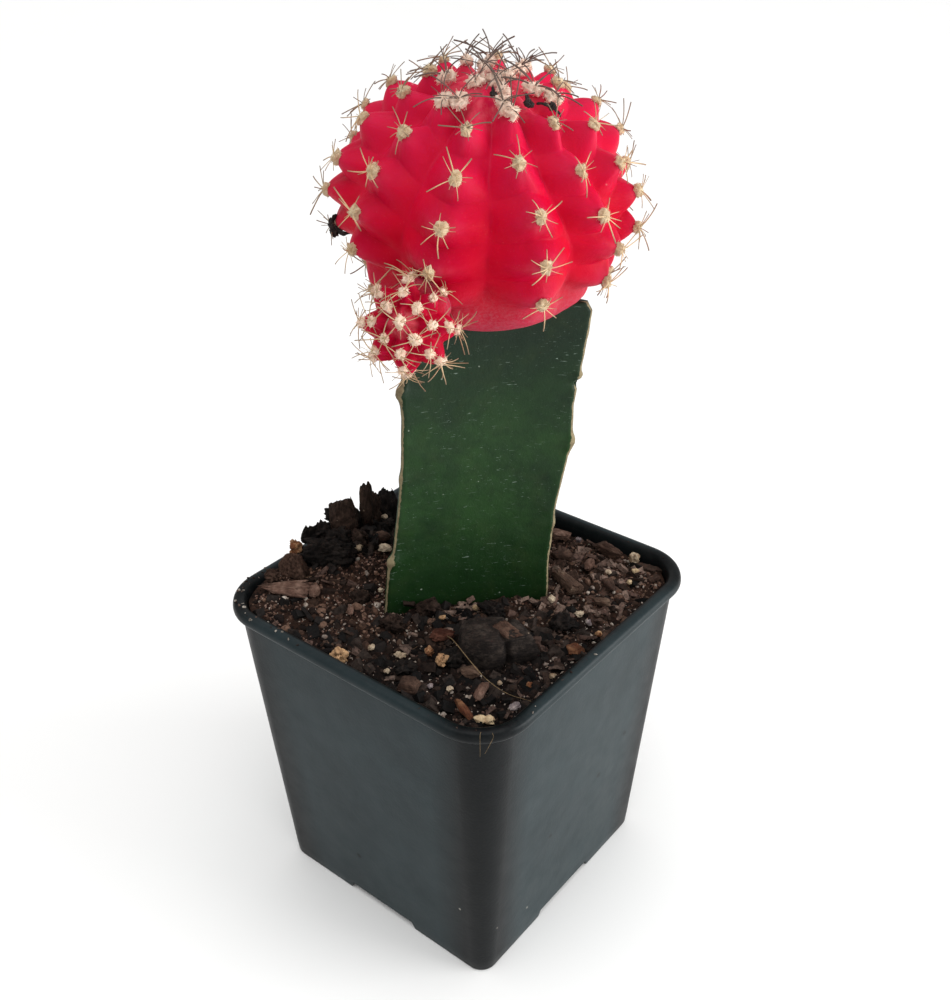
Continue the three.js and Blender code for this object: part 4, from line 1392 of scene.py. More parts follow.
def body_skin(body, seed):
    """Points, faces and masks of a ribbed body."""
    ribs = sorted(body["ribs"].values())
    per_rib = body["columns"]
    count = len(ribs) * per_rib
    last = last_row(body)
    steps = body["row_steps"]
    rows = np.concatenate([
        np.linspace(0, 1, steps // 2 + 1)[1:-1],
        np.arange(1, last, 1 / steps),
        np.linspace(last, last + FOOT_ROWS, 26)[:-1],
    ])
    column = np.arange(count)
    here, share = column // per_rib, (column % per_rib) / per_rib
    there = (here + 1) % len(ribs)
    whole = range(last + FOOT_ROWS + 1)
    latitudes = np.array([np.interp(rows, whole, rib_latitudes(body, rib)) for rib in ribs])
    latitude = latitudes[here].T * (1 - share) + latitudes[there].T * share
    azimuths = np.array([np.interp(rows, whole, rib_azimuths(body, rib)) for rib in ribs])
    azimuth = azimuths[here].T + ((azimuths[there] - azimuths[here]).T % 360) * share
    offset = np.broadcast_to(1 - np.abs(1 - 2 * share), latitude.shape)
    phase = np.broadcast_to((rows % 2)[:, None], latitude.shape)
    to_notch = 1 - np.abs(1 - phase)
    crest = body_point(body, azimuth, latitude, np.zeros(latitude.shape))
    away = crest - np.array(body["centre"])
    fade = relief(body, latitude, away)
    groove = 0.8 * rounded(offset, 0.35) + 0.2 * ease(0, 1, offset)
    notch = (0.75 * rounded(to_notch, 0.35) + 0.25 * ease(0, 1, to_notch)) * (1 - offset**1.5)
    calm_azimuth, calm_reach, calm_share = body["calm"]
    around = np.abs((azimuth - calm_azimuth + 180) % 360 - 180)
    notch = notch * (calm_share + (1 - calm_share) * ease(0.55 * calm_reach, calm_reach, around))
    depth = fade * (body["groove"] * groove + body["notch"] * notch)
    points = body_point(body, azimuth, latitude, depth).reshape(-1, 3)
    out = (away / np.linalg.norm(away, axis=-1)[..., None]).reshape(-1, 3)
    lump = bumps(points, body["equator"] / 4, seed, 3).reshape(latitude.shape) * (0.3 + 0.7 * fade)
    points = points + out * (body["lump"] * lump.reshape(-1, 1) - body["lump"])
    streak = np.exp(-(offset / 0.14) ** 2) * ease(1.0, 0.05, phase) * (phase > 0)
    # Painted sheen on the top of each tubercle, round its areole.
    painted_sheen = np.exp(-((offset / 0.3) ** 2 + (to_notch / 0.3) ** 2))
    foot = unit(body["foot"])
    masks = {
        "groove": np.clip(groove * fade + 0.5 * notch * fade, 0, 1),
        # pale: real pale streaks below the areoles, and painted sheen round them.
        "pale": np.clip(0.22 * streak * fade + 0.16 * painted_sheen * fade, 0, 1),
        "under": ease(0.3, 0.92, (out @ foot).reshape(latitude.shape)),
        "crown": body["crown"] * ease(64, 80, latitude),
    }
    levels = len(rows)
    centre, to_pole = np.array(body["centre"]), body_axes(body)[0] * (body["pole"] - body["lump"])
    points = np.vstack([points, centre + to_pole, centre - to_pole])
    faces = [(a, d, c, b) for a, b, c, d in strips(levels, count)]
    end = (levels - 1) * count
    for i in range(count):
        after = (i + 1) % count
        faces.append((levels * count, i, after))
        faces.append((levels * count + 1, end + after, end + i))
    masks = {
        key: np.append(value.ravel(), [value[0].mean(), value[-1].mean()]) for key, value in masks.items()
    }
    return points, faces, masks


Spot = namedtuple("Spot", "place out down latitude")  # an areole's place and directions


def spot_on(body, azimuth, latitude):
    """A spot on a ribbed body, with the directions out of it and down its rib."""
    place = body_point(body, azimuth, latitude, 0.0)
    below = body_point(body, azimuth, latitude - 4, 0.0)
    return Spot(place, unit(place - np.array(body["centre"])), unit(below - place), latitude)


def areole_spots(body, neighbour, reach):
    """A body's areoles, apart from those where it is smooth or within reach of a neighbour."""
    spots = []
    for rib in body["ribs"].values():
        rows, turns = rib_latitudes(body, rib), rib_azimuths(body, rib)
        for row in range(2, 2 * body["notches"] + 2, 2):
            spot = spot_on(body, turns[row], rows[row])
            rises = relief(body, rows[row], spot.place - np.array(body["centre"])) >= 0.15
            if rises and np.linalg.norm(spot.place - np.array(neighbour)) >= reach:
                spots.append(spot)
    return spots


def nowhere(spot):
    return 0.0


def spot_cloud(spots, sink, seed, aged_and_shaded=nowhere, young=nowhere):
    """A mesh of bare points, sunk that far, that carries each spot's directions and shares."""
    luck = Random(seed)
    mesh = bpy.data.meshes.new("spots")
    mesh.from_pydata([tuple((spot.place - spot.out * sink) * MM) for spot in spots], [], [])
    mark(mesh, "out", [spot.out for spot in spots], "FLOAT_VECTOR")
    mark(mesh, "down", [spot.down for spot in spots], "FLOAT_VECTOR")
    mark(mesh, "size", [luck.uniform(0.88, 1.12) for _ in spots])
    mark(mesh, "aged_and_shaded", [aged_and_shaded(spot) for spot in spots])
    mark(mesh, "young", [young(spot) for spot in spots])
    mark(mesh, "turn", [luck.uniform(-0.4, 0.4) for _ in spots])
    return mesh


def make_ball():
    points, faces, masks = body_skin(BALL, 21)
    material = flesh_finish("ball_skin", "bf0023", "ad032d", "e58a9a")
    ball = piece_from("moon_cactus_ball", points, faces, material, masks)
    own(ball, "ball_skin", "cactus_ball")
    return points, faces


def make_pup():
    points, faces, masks = body_skin(PUP, 31)
    material = flesh_finish("pup_skin", "a60022", "ae0534", "d97a8c")
    pup = piece_from("cactus_pup", points, faces, material, masks)
    return own(pup, "ball_skin", "cactus_offset")


def shown_areoles():
    return sorted(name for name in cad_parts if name.startswith("areole_"))


# Young areoles crowded round the growing point: latitude, how many and where the first stands.
CROWN_RINGS = [(74, 6, 12), (83, 4, 30), (89, 1, 40)]
CROWDED = 66  # from this latitude up, areoles belong to the crown


def crown_spots():
    """The young areoles, each a little off its place in its ring."""
    luck = Random(5)
    spots = []
    for latitude, count, start in CROWN_RINGS:
        for i in range(count):
            azimuth = start + 360 * i / count + luck.uniform(-11, 11)
            spot = spot_on(BALL, azimuth, latitude + luck.uniform(-1.5, 1.5))
            spots.append(spot._replace(latitude=latitude))
    return spots


def top_share(spot):
    """How near the top an areole stands, where its spines are grey."""
    return float(ease(38, CROWDED, spot.latitude))


def age_and_side_shade(spot):
    """The larger of how near the top an areole stands, where its spines are grey, and how far it is turned
    from the front of the plant, where they are painted darker and browner as shade.
    """
    away = 1 - spot.out @ unit((0.63, -0.78, 0.2))
    return float(max(top_share(spot), 0.75 * ease(0.55, 1.0, away)))


def youth(spot):
    """How near the growing point an areole stands, where its wool is blushed."""
    return float(ease(55, 80, spot.latitude))


def make_areoles():
    wool = wool_finish("areole_wool", "e8d4b2", "ab8760")
    crown_wool = wool_finish("crown_wool", "fff0da", "e2b396")
    cream = spine_finish("cream_spines", "dcc59c", "d8b88c", "94785c", "6a594c")
    grey = spine_finish("crown_spines", "c4ac92", "8a7466", "463a34", "5c4c44")
    spots = areole_spots(BALL, PUP["centre"], 8.2)
    plain = [spot for spot in spots if spot.latitude < CROWDED]
    crowded = [spot for spot in spots if spot.latitude >= CROWDED] + crown_spots()
    own(grown(
        "areole_wool", "wool", spot_cloud(plain, 0.2, 1, aged_and_shaded=top_share), wool,
        Width=0.74 * MM, Length=0.96 * MM, Height=0.62 * MM, Lumps=0.5 * MM,
        Hair=0.3 * MM, Hairs=0.9e7, Seed=2,
    ), "spines", *shown_areoles())
    own(grown(
        "crown_wool", "wool", spot_cloud(crowded, 0.1, 2, aged_and_shaded=top_share, young=youth), crown_wool,
        Width=0.7 * MM, Length=1.25 * MM, Height=0.55 * MM, Lumps=0.85 * MM,
        Hair=0.5 * MM, Hairs=0.7e7, Seed=3,
    ), "spines", "apex_crown")
    own(grown(
        "areole_spines", "spines", spot_cloud(plain, -0.25, 3, aged_and_shaded=age_and_side_shade), cream,
        Count=8, Length=4.2 * MM, Thickness=0.023, Splay=1.12, Spread=0.3, Bend=0.22,
        Stray=0.5 * MM, Seed=4,
    ), "spines")
    own(grown(
        "crown_spines", "spines", spot_cloud(crowded, -0.2, 4, aged_and_shaded=top_share), grey,
        Count=7, Length=5.0 * MM, Thickness=0.023, Splay=0.62, Spread=0.4, Bend=0.5,
        Stray=0.7 * MM, Seed=5,
    ), "spines")
    small = areole_spots(PUP, BALL["centre"], 21.5)
    axis = unit(PUP["axis"])
    tip = np.array(PUP["centre"]) + axis * PUP["pole"]
    small.append(Spot(tip, axis, unit(np.cross(axis, (1, 0, 0))), 90))
    own(grown(
        "pup_wool", "wool", spot_cloud(small, 0.1, 5, young=lambda spot: 0.3), crown_wool,
        Width=0.56 * MM, Length=0.7 * MM, Height=0.42 * MM, Lumps=0.5 * MM,
        Hair=0.34 * MM, Hairs=0.9e7, Seed=6,
    ), "spines")
    own(grown(
        "pup_spines", "spines", spot_cloud(small, -0.15, 6, aged_and_shaded=lambda spot: 0.3), cream,
        Count=7, Length=4.0 * MM, Thickness=0.020, Splay=1.0, Spread=0.4, Bend=0.3,
        Stray=0.7 * MM, Seed=7,
    ), "spines")


# ---- Rootstock --------------------------------------------------------------------------------
def stem_bump(z):
    """How far each outline point stands out in the corky bumps at one height."""
    per_side = STEM["rib_steps"] + STEM["face_steps"]
    tips = {"left": STEM["rib_steps"] / 2, "right": per_side + STEM["rib_steps"] / 2}
    tips["back"] = 2 * per_side + STEM["rib_steps"] / 2
    total = 3 * per_side
    index = np.arange(total)
    push = np.zeros(total)
    for rib, height, out, tall in STEM_BUMPS:
        around = np.abs((index - tips[rib] + total / 2) % total - total / 2)
        push += out * np.exp(-((z - height) / tall) ** 2) * np.exp(-(around / 4.5) ** 2)
    return push


def stem_ring(z):
    outline, cork = stem_outline_at(z)
    before, after = np.roll(outline, 1, axis=0), np.roll(outline, -1, axis=0)
    along = after - before
    away = np.stack([along[:, 1], -along[:, 0]], 1) / np.linalg.norm(along, axis=1)[:, None]
    bump = stem_bump(z)
    outline = outline + away * bump[:, None]
    outline = outline @ stem_turn().T + np.array(STEM["middle"])
    away = away @ stem_turn().T
    return outline, away, np.clip(cork + np.abs(bump) * 0.5, 0, 1)


def make_stem(ball_points, ball_faces):
    flesh = BVHTree.FromPolygons([Vector(p) for p in ball_points], ball_faces)

    def ceiling(x, y):
        hit = flesh.ray_cast(Vector((x, y, 95)), Vector((0, 0, 1)))[0]
        return min(STEM["top"], hit.z + STEM["sink"]) if hit else STEM["top"]

    shape = {}

    def spot(column, z):
        level = round(z, 1)
        if level not in shape:
            shape[level] = stem_ring(level)
        outline, away, cork = shape[level]
        return outline[column], away[column], cork[column]

    columns = len(stem_ring(STEM["root"])[0])
    tops = []
    for column in range(columns):
        z = STEM["top"]
        for _ in range(6):
            place = spot(column, z)[0]
            z = ceiling(*place)
        tops.append(z)
    rings, cork = [], []
    for row in range(STEM["rows"] + 1):
        share = row / STEM["rows"]
        ring = []
        for column in range(columns):
            z = STEM["root"] + (tops[column] - STEM["root"]) * share
            place, away, edge = spot(column, z)
            lump = noise.fractal(Vector((place[0], place[1], z)) / 4.0, 1.0, 2.0, 3)
            rough = noise.fractal(Vector((place[0], place[1], z)) / 0.9, 1.0, 2.0, 3) * edge
            place = place + away * (0.1 * lump + 0.1 * rough)
            ring.append((*place, z))
            cork.append(edge)
        rings.append(ring)
    middle = np.mean(np.array(rings[-1])[:, :2], axis=0)
    rim = np.array(rings[-1])
    for i in range(1, STEM["cap_rings"]):
        share = 1 - i / STEM["cap_rings"]
        flat = middle + (rim[:, :2] - middle) * share
        rings.append([(x, y, ceiling(x, y)) for x, y in flat])
        cork.extend([0.0] * columns)
    points, faces = loft(rings)
    points[-1, 2] = ceiling(points[-1, 0], points[-1, 1])
    cork.extend([0.0, 0.0])
    stem = piece_from("rootstock", points, faces, stem_finish(), {"cork": cork})
    return own(stem, "stem_skin", "rootstock_stem")


# ---- Loose bark, grit and remains -------------------------------------------------------------
# Place on the ground plan, size along a piece's own axes, turn about +Z, lean about its own X
# axis, how far its middle stands over the surface, its shape and its finish.
LOOSE = {
    "bark_chunk_dark": ((15.7, -8.5), (15, 12, 8.5), 48, -6, 1.2, "nut", "nut"),
    "bark_flake_pink": ((-23.6, -21.2), (9.6, 4.8, 1.3), 34, 24, 1.1, "sliver", "pink"),
    "bark_chip_left": ((-26.4, -16.6), (6.8, 5.4, 5.4), 20, 4, 1.5, "cone", "dull"),
    "bark_nodule_orange": ((-28.9, -13.2), (2.4, 2.0, 3.4), 0, -14, 2.1, "husk", "orange_cream"),
    "bark_upright_wide": ((-26.2, -3), (6.0, 2.6, 9.6), 48, -10, 2.8, "upright", "dark"),
    "bark_upright_stick": ((-25.2, 2.4), (2.5, 2, 11.6), 30, -4, 4.6, "stick", "dark"),
    "bark_clump_dark": ((-25.8, 9.2), (5.4, 3, 8.4), 52, 6, 3.4, "upright", "char"),
    "bark_lump_black": ((-23.2, -10), (10.2, 4.8, 6.6), 43, 6, 0.9, "mass", "char"),
    "bark_strip_upper": ((14.8, 26.4), (8, 2.4, 1.8), -14, 12, 0.9, "chip", "brown"),
    "bark_strip_lower": ((14.6, 13.8), (9, 3, 2.2), -22, -10, 1, "chip", "tan"),
    "bark_strip_back": ((3.8, 26.4), (5.8, 2.2, 1.7), 26, 8, 0.9, "chip", "pink"),
    "bark_chip_orange": ((26.2, -1.2), (3.8, 2.6, 1.8), 62, 0, 0.8, "chip", "orange"),
    "bark_chip_front": ((10.3, -26), (4.4, 3, 2.6), 25, 8, 0.8, "chip", "brown"),
    "bark_chip_middle": ((20.4, -19.6), (5.6, 1.5, 1.4), 107, 0, 0.8, "chip", "pink"),
    "twig_orange": ((20.7, -24.3), (6.4, 1.3, 1.3), -24, 0, 0.7, "twig", "orange"),
    "grit_cream_1": ((-21, -5), (2.3, 1.8, 1.6), 30, 0, 0.7, "pebble", "cream"),
    "grit_cream_2": ((-18.2, -0.3), (2.8, 1.7, 1.5), 45, 0, 0.7, "pebble", "cream"),
    "grit_cream_3": ((20.2, 27.4), (2.1, 1.8, 2.4), 10, 0, 1.2, "pebble", "cream"),
    "grit_cream_4": ((14.8, 8.2), (1.5, 1.4, 1.4), 0, 0, 0.6, "pebble", "cream"),
    "grit_cream_5": ((-4.1, -27.3), (2.4, 2, 3.2), 15, 0, 0.9, "husk", "orange_cream"),
    "grit_grey": ((26.6, -18.6), (1.9, 1.6, 1.6), 70, 0, 0.6, "pebble", "grey"),
    "perlite_pair": ((25.2, -24.6), (3.3, 2.2, 2.0), 30, 0, 0.9, "pair", "perlite"),
}
# More of the mix's bigger bits, which stand for no node of their own.
BITS = {
    "bark_cap_flake": ((17.2, -8.6), (6.2, 2.9, 0.9), -14, 6, 5.0, "flake", "dull"),
    "bark_stone_front": ((-2.9, -15.0), (4.8, 2.8, 2.4), 10, 10, 0.9, "mass", "dark"),
    "bark_stone_stem": ((-1.4, -7.3), (5.2, 3.6, 2.8), 30, 0, 0.9, "mass", "dark"),
    "bark_stone_back": ((8.6, -0.8), (4.4, 2.8, 2.6), 20, 0, 0.9, "mass", "char"),
    "bark_husk_orange_1": ((10.2, -17.6), (2.0, 1.9, 1.8), 35, 20, 1.0, "husk", "orange_cream"),
    "bark_husk_orange_2": ((6.9, -16.8), (1.7, 1.5, 1.4), -20, 0, 0.9, "husk", "orange_cream"),
    "bark_chip_red": ((5.8, -12.0), (4.6, 2.8, 1.8), 60, 8, 1.0, "chip", "red"),
    "bark_chip_dark_1": ((11.5, -15.7), (3.8, 3.6, 2.2), 50, 10, 0.9, "mass", "char"),
    "bark_chip_dark_2": ((20.2, 3.6), (4.6, 3.8, 2.6), 30, -8, 0.8, "mass", "char"),
    "bark_chip_dark_3": ((6.6, -22.6), (3.6, 2.8, 2.0), 70, 0, 0.7, "mass", "char"),
    "bark_chip_dark_4": ((-12.4, -13.2), (3.6, 2.4, 2.0), 20, 0, 0.6, "mass", "dark"),
    "bark_chip_pale_1": ((15.9, -17.1), (3.8, 2.4, 1.5), 20, 10, 1.0, "chip", "tan"),
    "bark_chip_pale_2": ((-19.3, -18.2), (3.4, 2.4, 1.5), -30, 20, 0.9, "chip", "pink"),
    "bark_chip_pale_3": ((-11.1, -17.3), (3.2, 1.1, 0.9), 129, 0, 0.8, "chip", "pink"),
    "bark_chip_pale_4": ((14.2, 21.2), (3.6, 1.8, 1.3), 100, 0, 0.8, "chip", "pink"),
    "bark_chip_pale_5": ((8.4, 20.4), (4.6, 2.2, 1.4), 36, 0, 0.8, "chip", "brown"),
    "bark_chip_pale_6": ((21.0, 17.5), (4.8, 2.1, 1.4), -40, 0, 0.8, "chip", "brown"),
    "bark_chip_pale_7": ((-14.0, 14.0), (5.2, 2.4, 1.7), 75, 6, 0.8, "chip", "tan"),
    "bark_chip_pale_8": ((-6.0, 23.0), (5.8, 2.6, 1.8), 10, 8, 0.8, "chip", "brown"),
    "bark_chip_pale_9": ((-20.0, 20.0), (5.2, 2.8, 2.0), 130, 6, 0.8, "chip", "dark"),
    "bark_chip_pale_10": ((22.6, 12.6), (3.8, 1.6, 1.2), 20, 6, 0.8, "chip", "tan"),
    "bark_chip_edge": ((-27.1, -20.9), (2.8, 2.2, 1.8), 60, 30, 1.5, "mass", "brown"),
    "bark_shard_black": ((-29.2, -9.6), (3.0, 1.4, 4.8), 40, 14, 2.3, "upright", "char"),
    "bark_block_9": ((-27.2, -7.8), (3.6, 3.0, 4.6), 25, 0, 1.6, "mass", "char"),
    "bark_block_10": ((-27.8, -3.2), (3.4, 2.8, 6.6), 35, 6, 2.0, "mass", "char"),
    "bark_block_1": ((-24.2, -6.6), (4.6, 3.8, 3.8), 40, 0, 1.3, "mass", "char"),
    "bark_block_2": ((-22.0, -3.4), (4.0, 3.2, 3.0), 10, 0, 1.0, "mass", "dark"),
    "bark_block_3": ((-26.9, 0.6), (3.6, 2.8, 5.4), 20, 8, 2.4, "upright", "char"),
    "bark_block_4": ((-23.0, 5.8), (4.2, 3.2, 3.6), 60, 0, 1.2, "mass", "char"),
    "bark_block_5": ((-27.0, 6.2), (3.2, 2.2, 7.4), 70, -8, 3.2, "upright", "dark"),
    "bark_block_6": ((-26.0, 13.4), (4.8, 2.8, 4.8), 80, 0, 1.8, "upright", "char"),
    "bark_block_7": ((-20.4, 0.8), (4.2, 2.4, 2.0), 70, 0, 0.9, "chip", "brown"),
    "bark_block_8": ((-20.6, -7.6), (3.4, 2.6, 2.4), 30, 0, 0.9, "mass", "char"),
    "grit_stone_1": ((-11.1, -9.3), (1.2, 1, 0.92), 20, 0, 0.6, "pebble", "cream"),
    "grit_stone_2": ((2.2, -7.8), (1.6, 0.92, 0.76), 50, 0, 0.6, "pebble", "orange_cream"),
    "grit_stone_3": ((5.2, -1.8), (1.3, 1.1, 1), 10, 0, 0.7, "pebble", "perlite"),
    "grit_stone_4": ((-1.4, -22.2), (1.3, 1.1, 1), 80, 0, 0.6, "pebble", "cream"),
    "grit_stone_5": ((3.3, -20.2), (2.4, 1.1, 0.92), 15, 0, 0.6, "husk", "cream"),
    "grit_stone_6": ((15.6, -21.8), (1.3, 1.1, 0.92), 60, 0, 0.6, "pebble", "cream"),
    "grit_stone_7": ((21.0, -15.4), (0.92, 0.84, 0.76), 0, 0, 0.5, "pebble", "cream"),
    "grit_stone_8": ((21.2, 7.5), (1.6, 1.2, 1), 30, 0, 0.6, "husk", "cream"),
    "grit_stone_9": ((23.6, 7.1), (1.3, 1.1, 1), 70, 0, 0.6, "pebble", "grey"),
    "grit_stone_10": ((22.5, 24.3), (1.3, 1.1, 1), 0, 0, 0.6, "pebble", "perlite"),
    "grit_stone_11": ((23.2, 21.1), (1.1, 1, 0.92), 40, 0, 0.6, "pebble", "perlite"),
    "grit_stone_12": ((18.8, 20.6), (1.2, 1, 0.92), 20, 0, 0.6, "pebble", "cream"),
    "grit_stone_13": ((23.7, -3.1), (1.3, 1.2, 1), 0, 0, 0.6, "pebble", "cream"),
    "grit_stone_14": ((26.9, -8.7), (1.3, 1, 0.92), 30, 0, 0.6, "pebble", "cream"),
    "grit_stone_15": ((27.1, 5.0), (1.3, 1.1, 1), 0, 0, 0.6, "pebble", "orange_cream"),
    "grit_stone_16": ((7.7, 27.2), (1.3, 1.2, 1.1), 0, 0, 0.6, "pebble", "grey"),
    "grit_stone_17": ((-25.1, 7.2), (1.3, 1.1, 1), 0, 0, 2.6, "pebble", "cream"),
    "grit_stone_18": ((-8.5, 17.5), (1.4, 1.2, 1.1), 30, 0, 0.6, "pebble", "cream"),
    "grit_stone_19": ((4.6, -25.0), (1.1, 0.92, 0.84), 30, 0, 0.6, "pebble", "cream"),
    "grit_stone_20": ((12.8, -23.4), (1, 0.84, 0.76), 60, 0, 0.5, "pebble", "grey"),
    "grit_stone_21": ((25.4, -13.2), (1.1, 0.92, 0.84), 10, 0, 0.5, "pebble", "orange_cream"),
    "grit_stone_22": ((13.4, -2.2), (1.2, 0.92, 0.84), 10, 0, 0.6, "pebble", "cream"),
}
# The shapes that pieces break to: how square they are, their lumps, their fibres' ridges and
# their torn ends as shares of their size, how crumbly they are, how many flats they have, which
# of their own axes their fibres follow, how fine their mesh is, and how far they narrow along
# their fibres, under 0 the other way.
SHAPE_PARTS = ("power", "lump", "ridge", "ragged", "crumble", "flats", "fibre", "detail", "taper")
SHAPE_ROWS = {
    "nut": (3.6, 0.07, 0.02, 0.05, 0.07, 16, 0, 6, 0),
    "mass": (3.0, 0.5, 0.08, 0.5, 1.1, 9, 0, 5, 0),
    "sliver": (5.0, 0.16, 0.12, 0.45, 0.08, 4, 0, 5, -0.75),
    "cone": (3.0, 0.34, 0.04, 0.3, 0.5, 5, 2, 5, 0.55),
    "flake": (5.0, 0.16, 0.12, 0.45, 0.08, 6, 0, 5, 0),
    "chip": (4.0, 0.14, 0.10, 0.34, 0.12, 8, 0, 5, 0),
    "upright": (4.2, 0.2, 0.14, 0.5, 0.16, 4, 2, 5, 0),
    "twig": (3.0, 0.2, 0.1, 0.3, 0.12, 5, 0, 4, 0),
    "pebble": (2.8, 0.32, 0.05, 0.3, 0.2, 7, 0, 5, 0),
    "husk": (2.4, 0.55, 0.14, 0.34, 0.7, 5, 0, 5, 0),
    "stick": (5.0, 0.12, 0.12, 0.22, 0.12, 2, 2, 5, 0),
    "pair": (2.4, 0.3, 0.06, 0.3, 0.14, 9, 0, 5, 0),
}
SHAPES = {name: dict(zip(SHAPE_PARTS, row)) for name, row in SHAPE_ROWS.items()}


def bit_finishes():
    """Finish and material slot of each kind of bark and grit."""
    bark = {
        "nut": ("12100e", "272120", "544a43", "dark_bark"),
        "char": ("0c0b0b", "1a1716", "302a27", "dark_bark"),
        "dark": ("1b1411", "362821", "58453b", "dark_bark"),
        "brown": ("291c17", "453229", "6c5447", "bark"),
        "dull": ("35261f", "5c4439", "836758", "bark"),
        "red": ("2f150f", "4c281d", "714a3c", "bark"),
        "pink": ("46332b", "6f5347", "987b6c", "bark"),
        "tan": ("403028", "624c3f", "86705f", "bark"),
        "orange": ("43241a", "6f432c", "9a7252", "orange_bark"),
    }
    finishes = {
        key: (bark_finish(f"{key}_bark", *codes[:3]), codes[3]) for key, codes in bark.items()
    }
    stones = {
        "cream": (["8f7a62", "c6b59c"], "5e4634"),
        "orange_cream": (["74462a", "c09a72"], "432415"),
        "grey": (["73686a", "a59894"], "4c4042"),
        "perlite": (["9c8465", "cab490"], "74492a"),
    }
    for key, (shades, stain) in stones.items():
        finishes[key] = (grit_finish(f"{key}_grit", shades, stain), "grit")
    return finishes


def unit_ball(detail):
    work = bmesh.new()
    bmesh.ops.create_icosphere(work, subdivisions=detail, radius=1)
    work.verts.ensure_lookup_table()
    points = np.array([tuple(v.co) for v in work.verts])
    faces = [tuple(v.index for v in face.verts) for face in work.faces]
    work.free()
    return points, faces


UNIT_BALLS = {detail: unit_ball(detail) for detail in (3, 4, 5, 6)}
COARSE_UNDER = 6.5  # a piece smaller than this has fewer faces


def chiselled(points, half, flats, seed):
    """Points pressed back to a few flats, as if the piece had been broken along them."""
    luck = Random(seed)
    for _ in range(flats):
        facing = unit([luck.gauss(0, 1) for _ in range(3)])
        reach = np.linalg.norm(facing * half)
        over = np.maximum(points @ facing - reach * luck.uniform(0.64, 1.0), 0)
        points = points - facing * over[:, None] * 0.92
    return points


def broken_piece(shape, size, seed):
    """Points in a piece's own millimetres, its faces and its ridge mask."""
    how = SHAPES[shape]
    ball, faces = UNIT_BALLS[how["detail"] - (max(size) < COARSE_UNDER)]
    squared = ball / (np.abs(ball) ** how["power"]).sum(1)[:, None] ** (1 / how["power"])
    half = np.array(size) / 2
    own_place = squared * half
    small = half.min()
    lump = bumps(own_place, 0.9 * half.mean(), seed, 3)
    drawn = own_place / np.array([0.3 if axis != how["fibre"] else 2.6 for axis in range(3)])
    ridge = bumps(drawn, 1.0, seed + 3, 3)
    ends = bumps(own_place * (np.arange(3) != how["fibre"]), 0.4 * small + 0.15, seed + 5, 2)
    stretch = np.ones((len(ball), 3))
    stretch[:, how["fibre"]] += how["ragged"] * (ends - 0.2)
    stretch -= 0.05
    swell = how["lump"] * lump * np.sqrt(small * half.mean())
    swell = swell + how["ridge"] * ridge * 0.8 * sqrt(small)
    out = ball * swell[:, None]
    points = chiselled(own_place * stretch + out, half, how["flats"], seed)
    taper = how["taper"]
    towards = 0.5 + np.sign(taper) * points[:, how["fibre"]] / (2 * half[how["fibre"]])
    narrowed = 1 - abs(taper) * np.clip(towards, 0, 1)[:, None]
    points = np.where(np.arange(3) == how["fibre"], points, points * narrowed)
    crumbs = np.abs(bumps(own_place, 0.7, seed + 9, 3)) - 0.3
    points = points - ball * (how["crumble"] * 1.6 * min(1.0, small) * crumbs)[:, None]
    if shape == "nut":
        seam = own_place[:, 0] - 1.2 - 1.1 * np.sin(own_place[:, 1] * 0.45)
        points = points - ball * (0.85 * np.exp(-(seam / 0.55) ** 2))[:, None]
    if shape == "pair":
        points = points - ball * (0.45 * np.exp(-(own_place[:, 0] / 0.5) ** 2))[:, None]
    return points, faces, np.clip(ridge * 0.9 - 0.1, 0, 1) * 0.6


def make_bit(name, spec, finishes, seed, node):
    (x, y), size, turn, lean, rise, shape, finish = spec
    points, faces, ridge = broken_piece(shape, size, seed)
    fibre = SHAPES[shape]["fibre"]
    own_place = np.roll(points, -fibre, axis=1) + seed * 3.7
    spin = Matrix.Rotation(radians(turn), 3, "Z") @ Matrix.Rotation(radians(lean), 3, "X")
    placed = points @ np.array(spin).T + np.array([x, y, soil_level(x, y) + rise])
    material, slot = finishes[finish]
    masks = {"ridge": ridge, "shade": np.full(len(points), Random(seed).random())}
    bit = piece_from(name, placed, faces, material, masks)
    mark(bit.data, "own", own_place, "FLOAT_VECTOR")
    return own(bit, slot, *([node] if node else []))


def make_bits():
    finishes = bit_finishes()
    for seed, (name, spec) in enumerate(LOOSE.items()):
        make_bit(name + "_piece", spec, finishes, seed + 1, name)
    for seed, (name, spec) in enumerate(BITS.items()):
        make_bit(name, spec, finishes, seed + 61, None)


# Stray roots and hairs: the points that each follows and its thickness.
STRANDS = {
    "root_fibre": ([(7.4, -12.6, 62.9), (10.6, -14.6, 64.6), (15.8, -16.7, 64.2), (20.0, -17.8, 63.3),
                    (24.6, -18.2, 62.9), (29.0, -17.6, 63.2)], 0.08),
    "lip_hair_left": (
        [(27.8, -29.0, 64.2), (28.6, -30.2, 64.6), (29.4, -31.2, 63.2), (29.7, -31.6, 62.0)], 0.035
    ),
    "lip_hair_right": (
        [(29.4, -28.2, 64.3), (30.2, -29.0, 64.4), (30.4, -30.4, 63.6), (30.2, -31.1, 62.6)], 0.035
    ),
}


def make_strands():
    material = crumb_finish("root_fibres", ["94805f", "7f694c", "a08a6c"], rough=0.85)
    for name, (path, radius) in STRANDS.items():
        smooth = smooth_path(path, 10)
        radii = radius * (1 - 0.6 * np.linspace(0, 1, len(smooth)) ** 2)
        points, faces = tube(smooth, radii, 8)
        strand = piece_from(name, points, faces, material, {"shade": np.full(len(points), 0.3)})
        own(strand, "bark")


